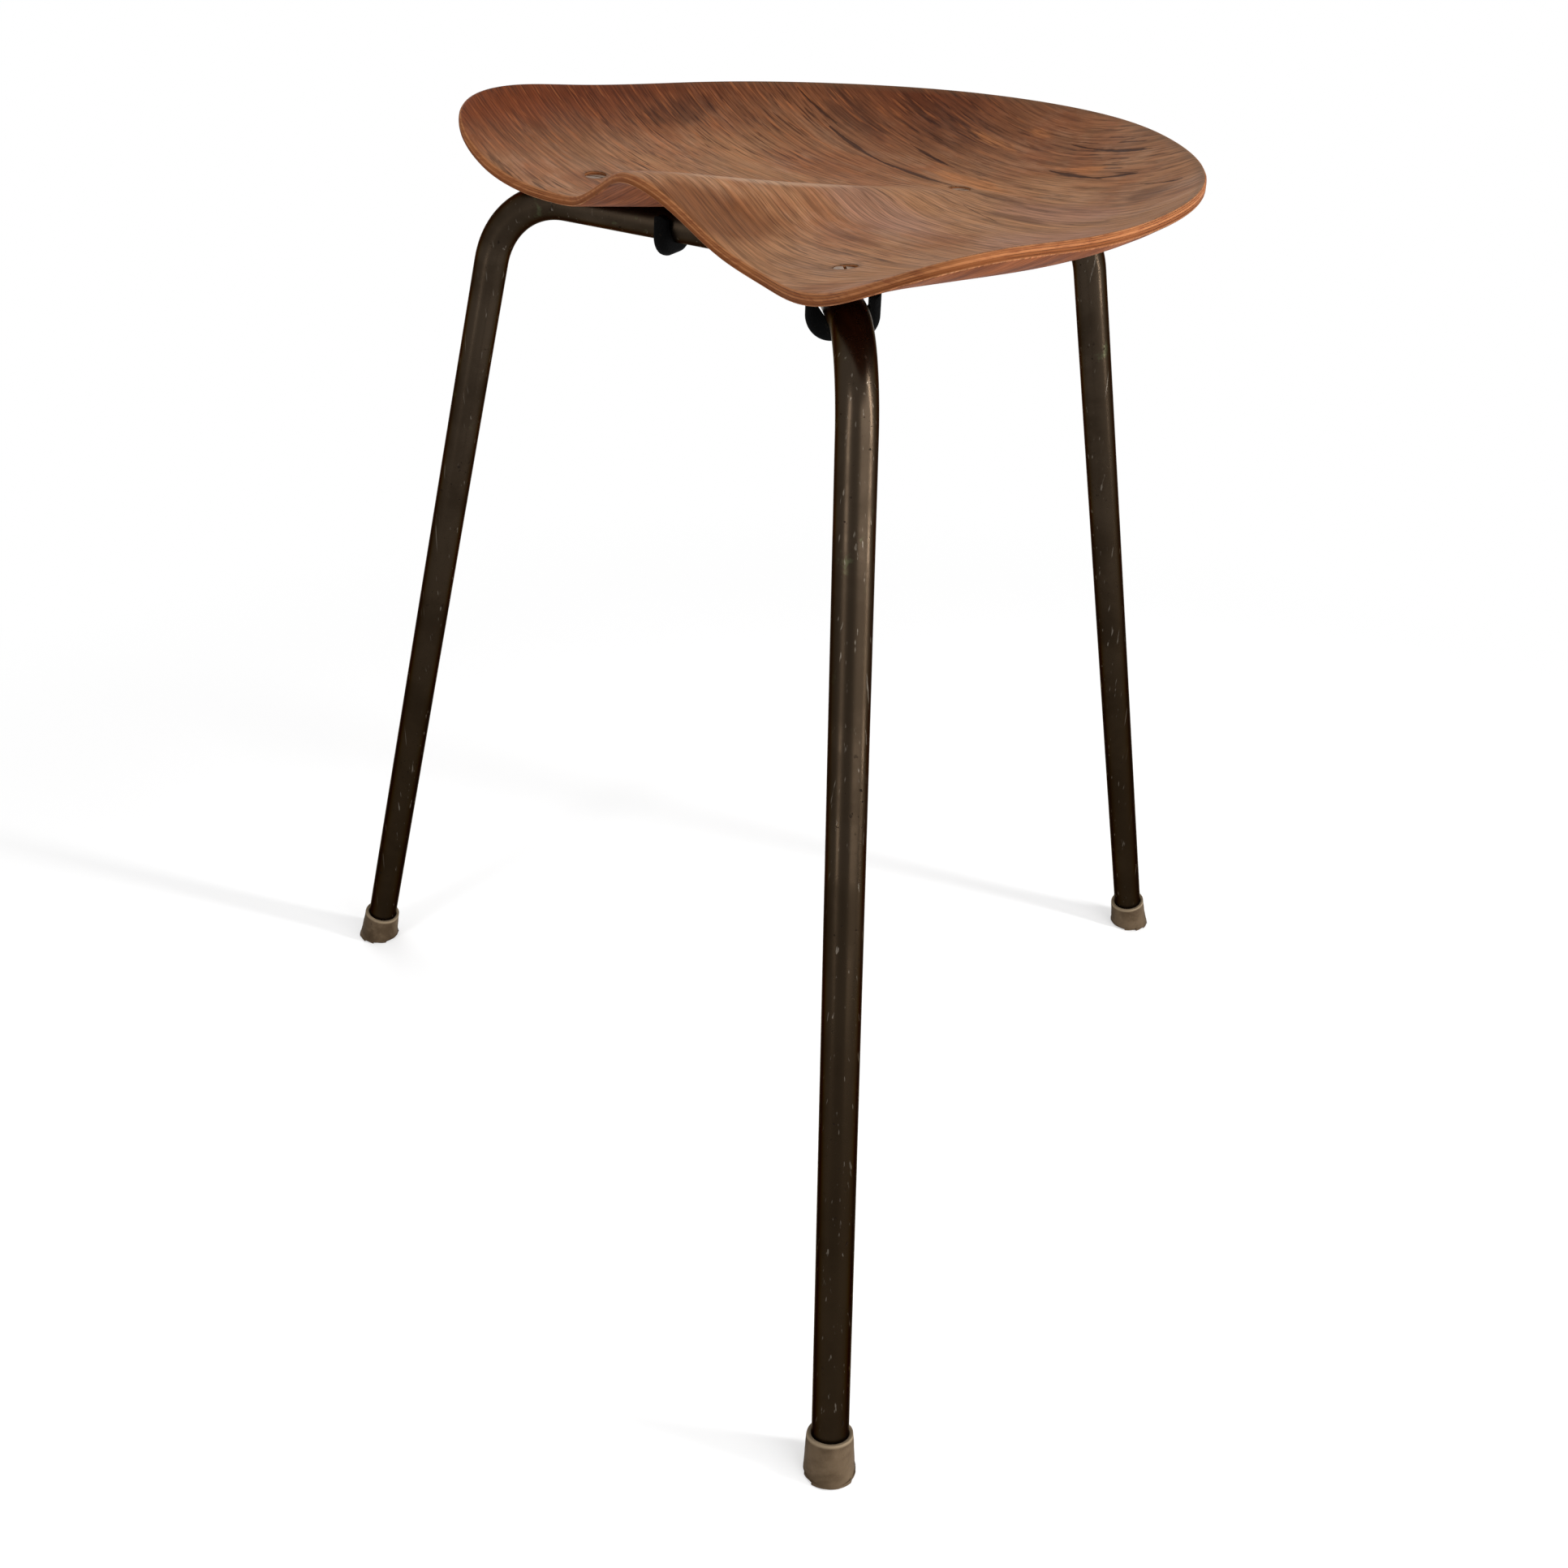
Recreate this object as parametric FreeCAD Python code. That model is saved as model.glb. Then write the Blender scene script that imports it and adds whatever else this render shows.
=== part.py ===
import FreeCAD, Part
import math
import os

# A three-legged stool: a moulded plywood saddle seat on three bent steel tubes.
# +Z is up, the front with the raised pommel looks along -Y, and the floor is Z = 0.
# The origin lies on the floor under the middle of the stool's footprint.

Vector = FreeCAD.Vector
up = Vector(0, 0, 1)
across = Vector(0, 1, 0)

# Tubes: each one is a leg, a bend and an arm that meets the others over the hub plate
tube_diameter = 16.0
tube_wall = 1.5
arm_height = 456.0
corner_reach = 160.0
foot_reach = 273.0
hub_drop = 6.0
bend_radius = 42.0
leg_count = 3
rear_leg_angle = 90.0
leg_names = {"front_left_leg": -150.0, "front_right_leg": -30.0, "rear_leg": rear_leg_angle}

# Hub plate under the joint of the arms
hub_plate_diameter = 46.0
hub_plate_thickness = 3.0
hub_plate_edge = 0.6

# Seat shell: a low middle, a rim of changing height, and one ply thickness all over
seat_thickness = 4.5
seat_half_width = 186.0
rim_rise = 31.8
dish_back = 20.0
middle_gap = 5.0
dish_power = 3.9
ridge_length = 180.0
ridge_half_width = 42.0
ridge_power = 1.05
ridge_waist_share = 0.5
edge_round = 1.0
outline_points = 30
surface_columns = 40
surface_rows = 28
surface_margin = 14.0

# The rim, from the pommel at the front round the right-hand side to the back:
# angle seen from the middle of the dish, reach over the half width, rise over the rim rise
rim_angles = (-90.0, -76.0, -62.0, -50.0, -40.0, -32.0, -24.0, -12.0, 8.0, 34.0, 62.0, 90.0)
rim_reach_shares = (0.609, 0.605, 0.637, 0.723, 0.930, 1.076, 1.087, 1.006, 0.899, 0.802, 0.738, 0.739)
rim_rise_shares = (0.681, 0.471, 0.102, -0.068, 0.133, 0.613, 0.861, 0.854, 0.873, 0.938, 0.997, 1.0)

# Seat screws with countersunk slotted heads, their bushes and the spacers on the arms
front_screw_reach = 110.0
rear_screw_reach = 80.0
screw_diameter = 5.0
screw_length = 16.0
head_diameter = 9.6
head_height = 2.7
head_sink = 0.8
head_clearance = 0.2
slot_width = 1.2
slot_depth = 1.1
hole_clearance = 0.3
thread_clearance = 0.05
bush_diameter = 8.0
bush_length = 8.0
spacer_diameter = 15.0
spacer_wrap = 2.0

# Stacking buffers: U-shaped clips pushed onto the arms from below, each at its arm's turn
# and its distance inwards from the bend
clip_places = {
    "front_left_clip": (-150.0, 56.0),
    "front_right_clip": (-30.0, 17.0),
    "rear_clip": (90.0, 17.0),
}
clip_wall = 6.5
clip_floor = 5.3
clip_corner = 10.0
clip_length = 6.4
clip_round = 2.9
clip_arm_height = 5.5
clip_clearance = 0.05
clip_grip_angle = 35.0
clip_mouth_half_width = 10.0

# Rubber ferrules with a steel disc under the tube's end
ferrule_height = 18.5
ferrule_top_diameter = 20.0
ferrule_foot_diameter = 23.6
ferrule_floor = 4.6
ferrule_round = 2.0
ferrule_lip = 0.7
socket_clearance = 0.05
disc_thickness = 1.0
disc_clearance = 0.3

overrun = 5.0

# Sizes that follow from the ones above
tube_radius = tube_diameter / 2
hub_height = arm_height - hub_drop
seat_low = hub_height + tube_radius + middle_gap + seat_thickness
stool_height = seat_low + rim_rise
arm_slope = math.atan2(hub_drop, corner_reach)
foot_point = Vector(foot_reach, 0, 0)
corner_point = Vector(corner_reach, 0, arm_height)
hub_point = Vector(0, 0, hub_height)
leg_axis = (corner_point - foot_point).normalize()
arm_axis = (corner_point - hub_point).normalize()
half_turn = math.acos(-leg_axis.dot(arm_axis)) / 2
bend_setback = bend_radius * math.tan(half_turn)


def turned(shape, angle):
    """A copy of a shape, turned about the hub's upright axis."""
    copy = shape.copy()
    copy.rotate(Vector(0, 0, 0), up, angle)
    return copy


# Seat surface

def rim_law():
    """Reach and rise of the rim as one smooth closed curve over the angle."""
    half = list(zip(rim_angles, rim_reach_shares, rim_rise_shares))
    mirrored = [(180 - angle, reach, rise) for angle, reach, rise in reversed(half[1:-1])]
    places = half + mirrored
    points = [Vector(reach * seat_half_width, rise * rim_rise, 0) for angle, reach, rise in places]
    angles = [angle for angle, reach, rise in places]
    law = Part.BSplineCurve()
    law.interpolate(Points=points, Parameters=angles + [angles[0] + 360], PeriodicFlag=True)
    return law


law = rim_law()


def rim_at(angle):
    """Reach and rise of the rim at an angle in degrees."""
    value = law.value((angle - rim_angles[0]) % 360 + rim_angles[0])
    return value.x, value.y


front_reach, front_rise = rim_at(rim_angles[0])


def seat_top(x, y):
    """Height of the seat's top face: a bowl that follows the rim, and the pommel's ridge, which runs back
    from the front rim past the middle of the dish, lower and narrower on its way."""
    angle = math.degrees(math.atan2(y - dish_back, x))
    reach, rise = rim_at(angle)
    share = math.hypot(x, y - dish_back) / reach
    bowl = share ** dish_power if share < 1 else 1 + dish_power * (share - 1)
    forward = (dish_back - y) / front_reach
    crest = max(1 - (1 - forward) * front_reach / ridge_length, 0) ** ridge_power
    waist = ridge_waist_share + (1 - ridge_waist_share) * max(forward, 0) ** 2
    ridge = front_rise * crest * math.exp(-(x / (ridge_half_width * waist)) ** 2)
    return seat_low + rise * bowl + ridge * (1 - bowl)


def seat_normal(x, y):
    """Upward normal of the seat's top face."""
    step = seat_thickness / 4
    slope_x = (seat_top(x + step, y) - seat_top(x - step, y)) / (2 * step)
    slope_y = (seat_top(x, y + step) - seat_top(x, y - step)) / (2 * step)
    return Vector(-slope_x, -slope_y, 1).normalize()


def even_steps(low, high, count):
    """Evenly spaced values from low to high."""
    return [low + (high - low) * index / count for index in range(count + 1)]


def rim_outline():
    """The rim seen from above, as points round the seat."""
    points = []
    for index in range(outline_points):
        angle = rim_angles[0] + index * 360 / outline_points
        reach = rim_at(angle)[0]
        turn = math.radians(angle)
        points.append(Vector(reach * math.cos(turn), dish_back + reach * math.sin(turn), 0))
    return points


def seat_sheets(outline):
    """The seat's top and bottom faces, as sheets that reach past the rim."""
    widest = max(point.x for point in outline) + surface_margin
    front = min(point.y for point in outline) - surface_margin
    back = max(point.y for point in outline) + surface_margin
    top_rows = []
    bottom_rows = []
    for x in even_steps(-widest, widest, surface_columns):
        top_row = [Vector(x, y, seat_top(x, y)) for y in even_steps(front, back, surface_rows)]
        top_rows.append(top_row)
        bottom_rows.append([point - seat_normal(point.x, point.y) * seat_thickness for point in top_row])
    sheets = []
    for rows in (top_rows, bottom_rows):
        surface = Part.BSplineSurface()
        surface.interpolate(rows)
        sheets.append(surface.toShape())
    return sheets


outline = rim_outline()
top_sheet, bottom_sheet = seat_sheets(outline)
below_seat = bottom_sheet.extrude(Vector(0, 0, -stool_height))


def screw_places():
    """The three screws: the point on the seat's top face, and the arm's turn there."""
    places = []
    for angle in leg_names.values():
        reach = rear_screw_reach if angle == rear_leg_angle else front_screw_reach
        turn = math.radians(angle)
        x = reach * math.cos(turn)
        y = reach * math.sin(turn)
        places.append((Vector(x, y, seat_top(x, y)), angle, reach))
    return places


def arm_crown(reach):
    """Height of the top of an arm at a distance from the hub's axis."""
    return hub_height + reach * math.tan(arm_slope) + tube_radius / math.cos(arm_slope)


def make_seat():
    curve = Part.BSplineCurve()
    curve.interpolate(Points=outline, PeriodicFlag=True)
    blank = Part.Face(Part.Wire(curve.toShape())).extrude(up * (stool_height * 2))
    above_seat = top_sheet.extrude(up * (stool_height * 2))
    seat = blank.cut(above_seat).cut(below_seat)
    rims = [edge for edge in seat.Edges if edge.Length > seat_half_width]
    seat = seat.makeFillet(edge_round, rims)
    for point, angle, reach in screw_places():
        head_top = point - up * head_sink
        hole_radius = screw_diameter / 2 + hole_clearance
        sink_radius = head_diameter / 2 + head_clearance
        hole = Part.makeCylinder(hole_radius, seat_thickness * 4, point - up * (seat_thickness * 2))
        sink = Part.makeCylinder(sink_radius, seat_thickness, head_top)
        cone = Part.makeCone(hole_radius, sink_radius, head_height, head_top - up * head_height)
        seat = seat.cut(hole).cut(sink).cut(cone)
    return seat


# Fasteners and spacers

def make_screws():
    screws = []
    for point, angle, reach in screw_places():
        head_top = point - up * head_sink
        shank = Part.makeCylinder(screw_diameter / 2, screw_length, head_top - up * screw_length)
        head = Part.makeCone(screw_diameter / 2, head_diameter / 2, head_height, head_top - up * head_height)
        slot = Part.makeBox(head_diameter * 2, slot_width, slot_depth * 2)
        slot.translate(head_top - Vector(head_diameter, slot_width / 2, slot_depth))
        slot.rotate(head_top, up, angle)
        screws.append(shank.fuse(head).cut(slot))
    return Part.makeCompound(screws)


def make_bushes():
    bushes = []
    bore_radius = screw_diameter / 2 + thread_clearance
    for point, angle, reach in screw_places():
        base = Vector(point.x, point.y, arm_crown(reach) - bush_length)
        bush = Part.makeCylinder(bush_diameter / 2, bush_length + overrun, base)
        bore = Part.makeCylinder(bore_radius, bush_length + overrun * 2, base - up * overrun)
        bushes.append(bush.cut(bore).common(turned(arm_rod(tube_radius), angle)))
    return bushes


def make_spacer(point, angle, reach):
    """A rubber saddle between the seat's underside and an arm."""
    crown = arm_crown(reach)
    base = Vector(point.x, point.y, crown - spacer_wrap)
    height = point.z - crown + spacer_wrap
    disc = Part.makeCylinder(spacer_diameter / 2, height, base)
    hole = Part.makeCylinder(screw_diameter / 2 + hole_clearance, height + overrun * 2, base - up * overrun)
    return disc.cut(hole).common(below_seat).cut(turned(arm_rod(tube_radius), angle))


# Tubes and hub

def arm_rod(radius):
    """A solid rod along an arm, from behind the hub to past the leg's corner."""
    start = hub_point - arm_axis * tube_diameter
    length = (corner_point - start).Length
    return Part.makeCylinder(radius, length, start, arm_axis)


def leg_path():
    """The tube's centreline: leg, bend and arm, with a little spare past the hub."""
    start = foot_point + leg_axis * (ferrule_floor + disc_thickness)
    bend_start = corner_point - leg_axis * bend_setback
    bend_end = corner_point - arm_axis * bend_setback
    inward = ((bend_start + bend_end) * 0.5 - corner_point).normalize()
    centre = corner_point + inward * (bend_radius / math.cos(half_turn))
    bend_middle = centre - inward * bend_radius
    end = hub_point - arm_axis * tube_diameter
    leg = Part.LineSegment(start, bend_start).toShape()
    bend = Part.Arc(bend_start, bend_middle, bend_end).toShape()
    arm = Part.LineSegment(bend_end, end).toShape()
    return Part.Wire([leg, bend, arm]), start


def swept(path, start, radius):
    circle = Part.Wire(Part.makeCircle(radius, start, leg_axis))
    return path.makePipeShell([circle], True, False)


def make_leg():
    """One tube, mitred against its two neighbours."""
    path, start = leg_path()
    tube = swept(path, start, tube_radius).cut(swept(path, start, tube_radius - tube_wall))
    far = foot_reach * 2
    half_angle = math.pi / leg_count
    spread = far * math.tan(half_angle)
    corners = [Vector(0, 0, 0), Vector(far, -spread, 0), Vector(far, spread, 0)]
    sector = Part.Face(Part.makePolygon(corners + corners[:1])).extrude(up * (stool_height * 2))
    return tube.common(sector)


def make_legs():
    """The three tubes, each drilled on top for its bush."""
    leg = make_leg()
    legs = {}
    for name, (point, angle, reach) in zip(leg_names, screw_places()):
        base = Vector(point.x, point.y, arm_crown(reach) - tube_radius)
        bush_hole = Part.makeCylinder(bush_diameter / 2, tube_diameter, base)
        legs[name] = turned(leg, angle).cut(bush_hole)
    return legs


def make_hub_plate():
    """A round plate under the arms, with its top face hollowed to fit them."""
    underside = hub_height - tube_radius - hub_plate_thickness
    plate = Part.makeCylinder(hub_plate_diameter / 2, hub_plate_thickness * 2, Vector(0, 0, underside))
    plate = plate.makeChamfer(hub_plate_edge, [edge for edge in plate.Edges if edge.Closed])
    for angle in leg_names.values():
        plate = plate.cut(turned(arm_rod(tube_radius), angle))
    return plate


# Clips

def make_clip(from_bend):
    """A stacking buffer round the lower half of an arm, open at the top, with all its outer edges round."""
    middle = corner_point - arm_axis * (bend_setback + from_bend)
    lift = arm_axis.cross(across)
    half_width = tube_radius + clip_wall
    depth = tube_radius + clip_floor
    start = middle - arm_axis * (clip_length / 2)
    outer = [(-half_width, clip_arm_height), (-half_width, -depth),
             (half_width, -depth), (half_width, clip_arm_height)]
    corners = [start + across * u + lift * w for u, w in outer]
    block = Part.Face(Part.makePolygon(corners + corners[:1])).extrude(arm_axis * clip_length)
    low_middle = middle - lift * depth
    low_face = min(block.Faces, key=lambda face: face.CenterOfMass.distanceToPoint(low_middle))
    low_corners = [edge for edge in low_face.Edges if abs((edge.CenterOfMass - middle).dot(across)) > tube_radius]
    block = block.makeFillet(clip_corner, low_corners)
    ends = [face for face in block.Faces if abs((face.CenterOfMass - middle).dot(arm_axis)) > clip_length / 4]
    block = block.makeFillet(clip_round, [edge for face in ends for edge in face.Edges])
    block = block.cut(arm_rod(tube_radius + clip_clearance))
    grip = math.radians(clip_grip_angle)
    grip_radius = tube_radius + clip_clearance
    grip_half = grip_radius * math.cos(grip)
    grip_drop = grip_radius * math.sin(grip)
    top = clip_arm_height + overrun
    profile = [(-grip_half, -grip_drop), (-clip_mouth_half_width, 0), (-clip_mouth_half_width, top),
               (clip_mouth_half_width, top), (clip_mouth_half_width, 0), (grip_half, -grip_drop)]
    corners = [start - arm_axis * overrun + across * u + lift * w for u, w in profile]
    mouth = Part.Face(Part.makePolygon(corners + corners[:1])).extrude(arm_axis * (clip_length + overrun * 2))
    return block.cut(mouth)


# Feet

def make_ferrule():
    """A rubber cup on the leg's end, cut level where it stands on the floor."""
    foot_radius = ferrule_foot_diameter / 2
    top_radius = ferrule_top_diameter / 2
    below = ferrule_foot_diameter
    flare = (foot_radius - top_radius) * (below + ferrule_height) / ferrule_height
    base = foot_point - leg_axis * below
    body = Part.makeCone(top_radius + flare, top_radius, below + ferrule_height, base, leg_axis)
    ground = Part.makeBox(foot_reach * 4, foot_reach * 4, foot_reach)
    ground.translate(Vector(-foot_reach * 2, -foot_reach * 2, -foot_reach))
    body = body.cut(ground)
    foot_edges = [edge for edge in body.Edges if edge.BoundBox.ZMax < ferrule_lip]
    body = body.makeFillet(ferrule_round, foot_edges)
    lip_edges = [edge for edge in body.Edges if edge.BoundBox.ZMin > ferrule_height / 2 and edge.Closed]
    body = body.makeFillet(ferrule_lip, lip_edges)
    socket_radius = tube_radius + socket_clearance
    socket = Part.makeCylinder(socket_radius, ferrule_height * 2, foot_point + leg_axis * ferrule_floor, leg_axis)
    return body.cut(socket)


def make_disc():
    radius = tube_radius - disc_clearance
    return Part.makeCylinder(radius, disc_thickness, foot_point + leg_axis * ferrule_floor, leg_axis)


# All the nodes

def make_nodes():
    bushes = make_bushes()
    nodes = {"seat": make_seat(), "seat_screws": make_screws(), "screw_bushes": Part.makeCompound(bushes)}
    nodes["hub_plate"] = make_hub_plate()
    nodes.update(make_legs())
    spacers = [make_spacer(*place) for place in screw_places()]
    nodes["front_spacers"] = Part.makeCompound(spacers[:2])
    nodes["rear_spacer"] = spacers[2]
    for name, (angle, from_bend) in clip_places.items():
        nodes[name] = turned(make_clip(from_bend), angle)
    ferrule = make_ferrule()
    discs = []
    for name, angle in leg_names.items():
        nodes[name.replace("_leg", "_foot")] = turned(ferrule, angle)
        discs.append(turned(make_disc(), angle))
    nodes["foot_discs"] = Part.makeCompound(discs)
    return nodes


nodes = make_nodes()
footprint = Part.makeCompound([shape for name, shape in nodes.items() if name.endswith("_foot")])
box = footprint.optimalBoundingBox(False)
to_origin = Vector(0, -(box.YMin + box.YMax) / 2, 0)
os.makedirs("parts", exist_ok=True)
for name, shape in nodes.items():
    placed = shape.copy()
    placed.translate(to_origin)
    placed.exportStep("parts/" + name + ".step")
    print(name, len(placed.Solids), "solids", round(placed.Volume / 1000, 2), "cm3", "valid", placed.isValid())
print("hub axis at Y", round(to_origin.y, 3))
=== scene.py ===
# %% [markdown]
# A tripod stool: a moulded plywood saddle seat, screwed to three bent steel tubes that meet
# under its middle and stand in rubber ferrules.
# This lesson dresses the stool's packed construction model. Small hidden parts keep their
# construction meshes and get a finish. The seat, the tubes, the screws and the ferrules are
# modelled again with bmesh operators, because their edges, bends and wear show from close by.
# All lengths are in metres, and mm turns millimetres into metres.

# %% The construction model
import math

import bmesh
import bpy
import numpy as np
from mathutils import Matrix, Vector, noise


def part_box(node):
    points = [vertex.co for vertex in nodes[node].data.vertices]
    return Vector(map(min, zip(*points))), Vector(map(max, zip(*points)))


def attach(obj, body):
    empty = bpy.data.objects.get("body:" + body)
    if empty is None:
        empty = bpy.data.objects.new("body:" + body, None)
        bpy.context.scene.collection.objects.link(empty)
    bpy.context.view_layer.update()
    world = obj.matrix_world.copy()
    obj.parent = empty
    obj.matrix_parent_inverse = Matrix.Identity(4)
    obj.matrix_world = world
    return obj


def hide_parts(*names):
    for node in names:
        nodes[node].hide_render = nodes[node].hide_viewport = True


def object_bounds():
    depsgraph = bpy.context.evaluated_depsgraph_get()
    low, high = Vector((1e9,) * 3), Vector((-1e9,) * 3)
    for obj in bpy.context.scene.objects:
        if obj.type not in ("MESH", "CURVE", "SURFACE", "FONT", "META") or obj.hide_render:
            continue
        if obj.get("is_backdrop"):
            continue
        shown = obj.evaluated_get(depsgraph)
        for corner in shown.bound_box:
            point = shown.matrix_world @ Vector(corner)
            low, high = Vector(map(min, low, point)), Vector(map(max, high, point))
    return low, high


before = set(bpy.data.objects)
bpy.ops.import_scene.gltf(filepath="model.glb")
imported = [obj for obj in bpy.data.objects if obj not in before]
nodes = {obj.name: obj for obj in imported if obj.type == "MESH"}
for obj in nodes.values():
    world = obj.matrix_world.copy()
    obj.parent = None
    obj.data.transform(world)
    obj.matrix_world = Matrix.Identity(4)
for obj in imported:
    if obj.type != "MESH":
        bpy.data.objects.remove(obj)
cad_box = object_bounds()
mm = 0.001
print("nodes:", len(nodes), "box:", [round(size, 3) for size in cad_box[1] - cad_box[0]])

# %% [markdown]
# The camera looks down at the stool's front right corner from about a metre away, tilted by a
# couple of degrees. Its place, turn and focal length were worked out from the straight tube
# edges, the three feet and the seat's rim, so that every piece falls where the photograph has it.
# A camera looks along its own -Z, so its rotation holds the right, up and backward directions.

# %% Camera
camera_place = Vector((0.6313, -0.5303, 0.6273))
camera_yaw = math.radians(144.06)
camera_pitch = math.radians(29.67)
camera_roll = math.radians(-2.43)
sensor_width = 36.0
photo_pixels = 1932
focal_pixels = 2169.7

ahead = Vector((math.cos(camera_yaw) * math.cos(camera_pitch),
                math.sin(camera_yaw) * math.cos(camera_pitch), -math.sin(camera_pitch)))
level_right = Vector((math.sin(camera_yaw), -math.cos(camera_yaw), 0))
level_down = ahead.cross(level_right)
right = level_right * math.cos(camera_roll) + level_down * math.sin(camera_roll)
down = level_down * math.cos(camera_roll) - level_right * math.sin(camera_roll)
camera_data = bpy.data.cameras.new("camera")
camera_data.sensor_width = sensor_width
camera_data.lens = focal_pixels / photo_pixels * sensor_width
camera = bpy.data.objects.new("camera", camera_data)
camera_turn = Matrix((right, -down, -ahead)).transposed().to_4x4()
camera.matrix_world = Matrix.Translation(camera_place) @ camera_turn
bpy.context.scene.collection.objects.link(camera)
bpy.context.scene.camera = camera
bpy.context.scene.view_settings.view_transform = "Standard"
print("lens in mm:", round(camera_data.lens, 2))

# %% [markdown]
# Shader trees are easier to read when a line says what a node does. These helpers add a node,
# feed its inputs with numbers or with other nodes, and return the socket to go on with.
# Colours are written as they look on a screen, from 0 to 255, and turned into the linear
# values that a shader works with.

# %% Helpers for shader trees
def tint(red, green, blue):
    """A screen colour as the linear colour that a shader takes."""
    shares = [channel / 255 for channel in (red, green, blue)]
    linear = [share / 12.92 if share <= 0.04045 else ((share + 0.055) / 1.055) ** 2.4 for share in shares]
    return (*linear, 1.0)


def feed(tree, socket, value):
    if isinstance(value, bpy.types.NodeSocket):
        tree.links.new(value, socket)
    else:
        socket.default_value = value


def put(tree, kind, values=None, **settings):
    """A new node with its settings, its inputs fed by name."""
    made = tree.nodes.new(kind)
    for name, value in settings.items():
        setattr(made, name, value)
    for name, value in (values or {}).items():
        feed(tree, made.inputs[name], value)
    return made


def calc(tree, operation, *values):
    made = put(tree, "ShaderNodeMath", operation=operation)
    for socket, value in zip(made.inputs, values):
        feed(tree, socket, value)
    return made.outputs[0]


def weighted(tree, *parts):
    """The sum of some values, each times its own weight."""
    total = 0.0
    for value, weight in parts:
        total = calc(tree, "MULTIPLY_ADD", value, weight, total)
    return total


def vector_calc(tree, operation, first, second=None):
    """A sum with vectors. Lengths, distances and dot products come out as a number."""
    made = put(tree, "ShaderNodeVectorMath", operation=operation)
    feed(tree, made.inputs[0], first)
    if second is not None:
        feed(tree, made.inputs["Scale" if operation == "SCALE" else 1], second)
    return made.outputs["Value" if operation in ("LENGTH", "DISTANCE", "DOT_PRODUCT") else "Vector"]


def mixed(tree, factor, first, second, how="MIX"):
    """Two colours mixed by a factor."""
    made = put(tree, "ShaderNodeMix", data_type="RGBA", blend_type=how)
    for index, value in ((0, factor), (6, first), (7, second)):
        feed(tree, made.inputs[index], value)
    return made.outputs[2]


def laid_over(tree, base, mask, strength, colour):
    """The base colour with another one over it where the mask is, as strong as the strength says."""
    return mixed(tree, calc(tree, "MULTIPLY", mask, strength), base, colour)


def ranged(tree, value, low, high, to_low=0.0, to_high=1.0):
    """A value between two limits, as a smooth step from one result to another."""
    made = put(tree, "ShaderNodeMapRange", {"Value": value, "From Min": low, "From Max": high,
                                            "To Min": to_low, "To Max": to_high})
    made.interpolation_type = "SMOOTHSTEP"
    return made.outputs["Result"]


def cloud(tree, place, scale, detail=3.0, roughness=0.5, distortion=0.0):
    """Soft random values around one half."""
    made = put(tree, "ShaderNodeTexNoise", {"Vector": place, "Scale": scale, "Detail": detail,
                                            "Roughness": roughness, "Distortion": distortion})
    return made.outputs["Fac"]


def streaks(tree, place, squeeze, detail=2.0, roughness=0.5, move=(0, 0, 0)):
    """Soft random values around one half, squeezed by their own factors along X, Y and Z."""
    squeezed = put(tree, "ShaderNodeMapping", {"Vector": place, "Scale": squeeze, "Location": move})
    return cloud(tree, squeezed.outputs["Vector"], 1.0, detail, roughness)


def new_group(name, inputs, outputs):
    """An empty shader node group with named sockets."""
    group = bpy.data.node_groups.new(name, "ShaderNodeTree")
    for socket_name, kind, value in inputs:
        socket = group.interface.new_socket(socket_name, in_out="INPUT", socket_type=kind)
        if value is not None:
            socket.default_value = value
    for socket_name, kind in outputs:
        group.interface.new_socket(socket_name, in_out="OUTPUT", socket_type=kind)
    return group, group.nodes.new("NodeGroupInput").outputs, group.nodes.new("NodeGroupOutput").inputs


def use(tree, group, **values):
    """A group placed in a tree, its inputs fed by name."""
    made = tree.nodes.new("ShaderNodeGroup")
    made.node_tree = group
    for name, value in values.items():
        feed(tree, made.inputs[name], value)
    return made.outputs


def attribute(tree, name):
    """The value that a mesh carries at each point under this name, or 0 where it has none."""
    return put(tree, "ShaderNodeAttribute", attribute_name=name).outputs["Fac"]


def axes_of(tree, place):
    return put(tree, "ShaderNodeSeparateXYZ", {"Vector": place}).outputs


def new_material(name):
    """A material with its Principled shader, and the object coordinates to paint with."""
    material = bpy.data.materials.new(name)
    material.use_nodes = True
    tree = material.node_tree
    place = put(tree, "ShaderNodeTexCoord").outputs["Object"]
    return material, tree, tree.nodes["Principled BSDF"], place


def finish_shader(tree, shader, colour, roughness, height, depth, strength=1.0):
    """Feeds a shader its colour, its roughness and the bumps of a height map."""
    bump = put(tree, "ShaderNodeBump", {"Height": height, "Distance": depth, "Strength": strength})
    feed(tree, shader.inputs["Base Color"], colour)
    feed(tree, shader.inputs["Roughness"], roughness)
    feed(tree, shader.inputs["Normal"], bump.outputs["Normal"])


print("a mid brown in linear light:", [round(channel, 3) for channel in tint(125, 80, 55)])

# %% [markdown]
# Wood grain is one effect for the face veneers, and it could be used again on any board.
# Real veneer has slow bands of colour from the year rings, fine fibres, and short dark pores that all run the
# same way. Squeezing one noise hard across the grain gives each of them, at its own scale: a squeeze has one
# factor for X, one for Y and one for Z. Cracks, worn patches and patches of painted light and shade sit at
# known places, so they are small groups with a place.

# %% Shared effects: grain, cracks and patches
number = "NodeSocketFloat"
vector = "NodeSocketVector"
grain_sway = 8 * mm
sway_squeeze = (5, 9, 3)
band_squeeze = (13, 90, 8)
fibre_squeeze = (28, 820, 10)
crowd_squeeze = (12, 26, 8)
pore_squeeze = (62, 860, 20)
fleck_squeeze = (48, 700, 20)
crack_squeeze = (60, 160, 1)
crack_wander = 2.4 * mm
crack_end_share = 0.25
patch_squeeze = (60, 230, 60)
patch_raggedness = 3.0


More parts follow.
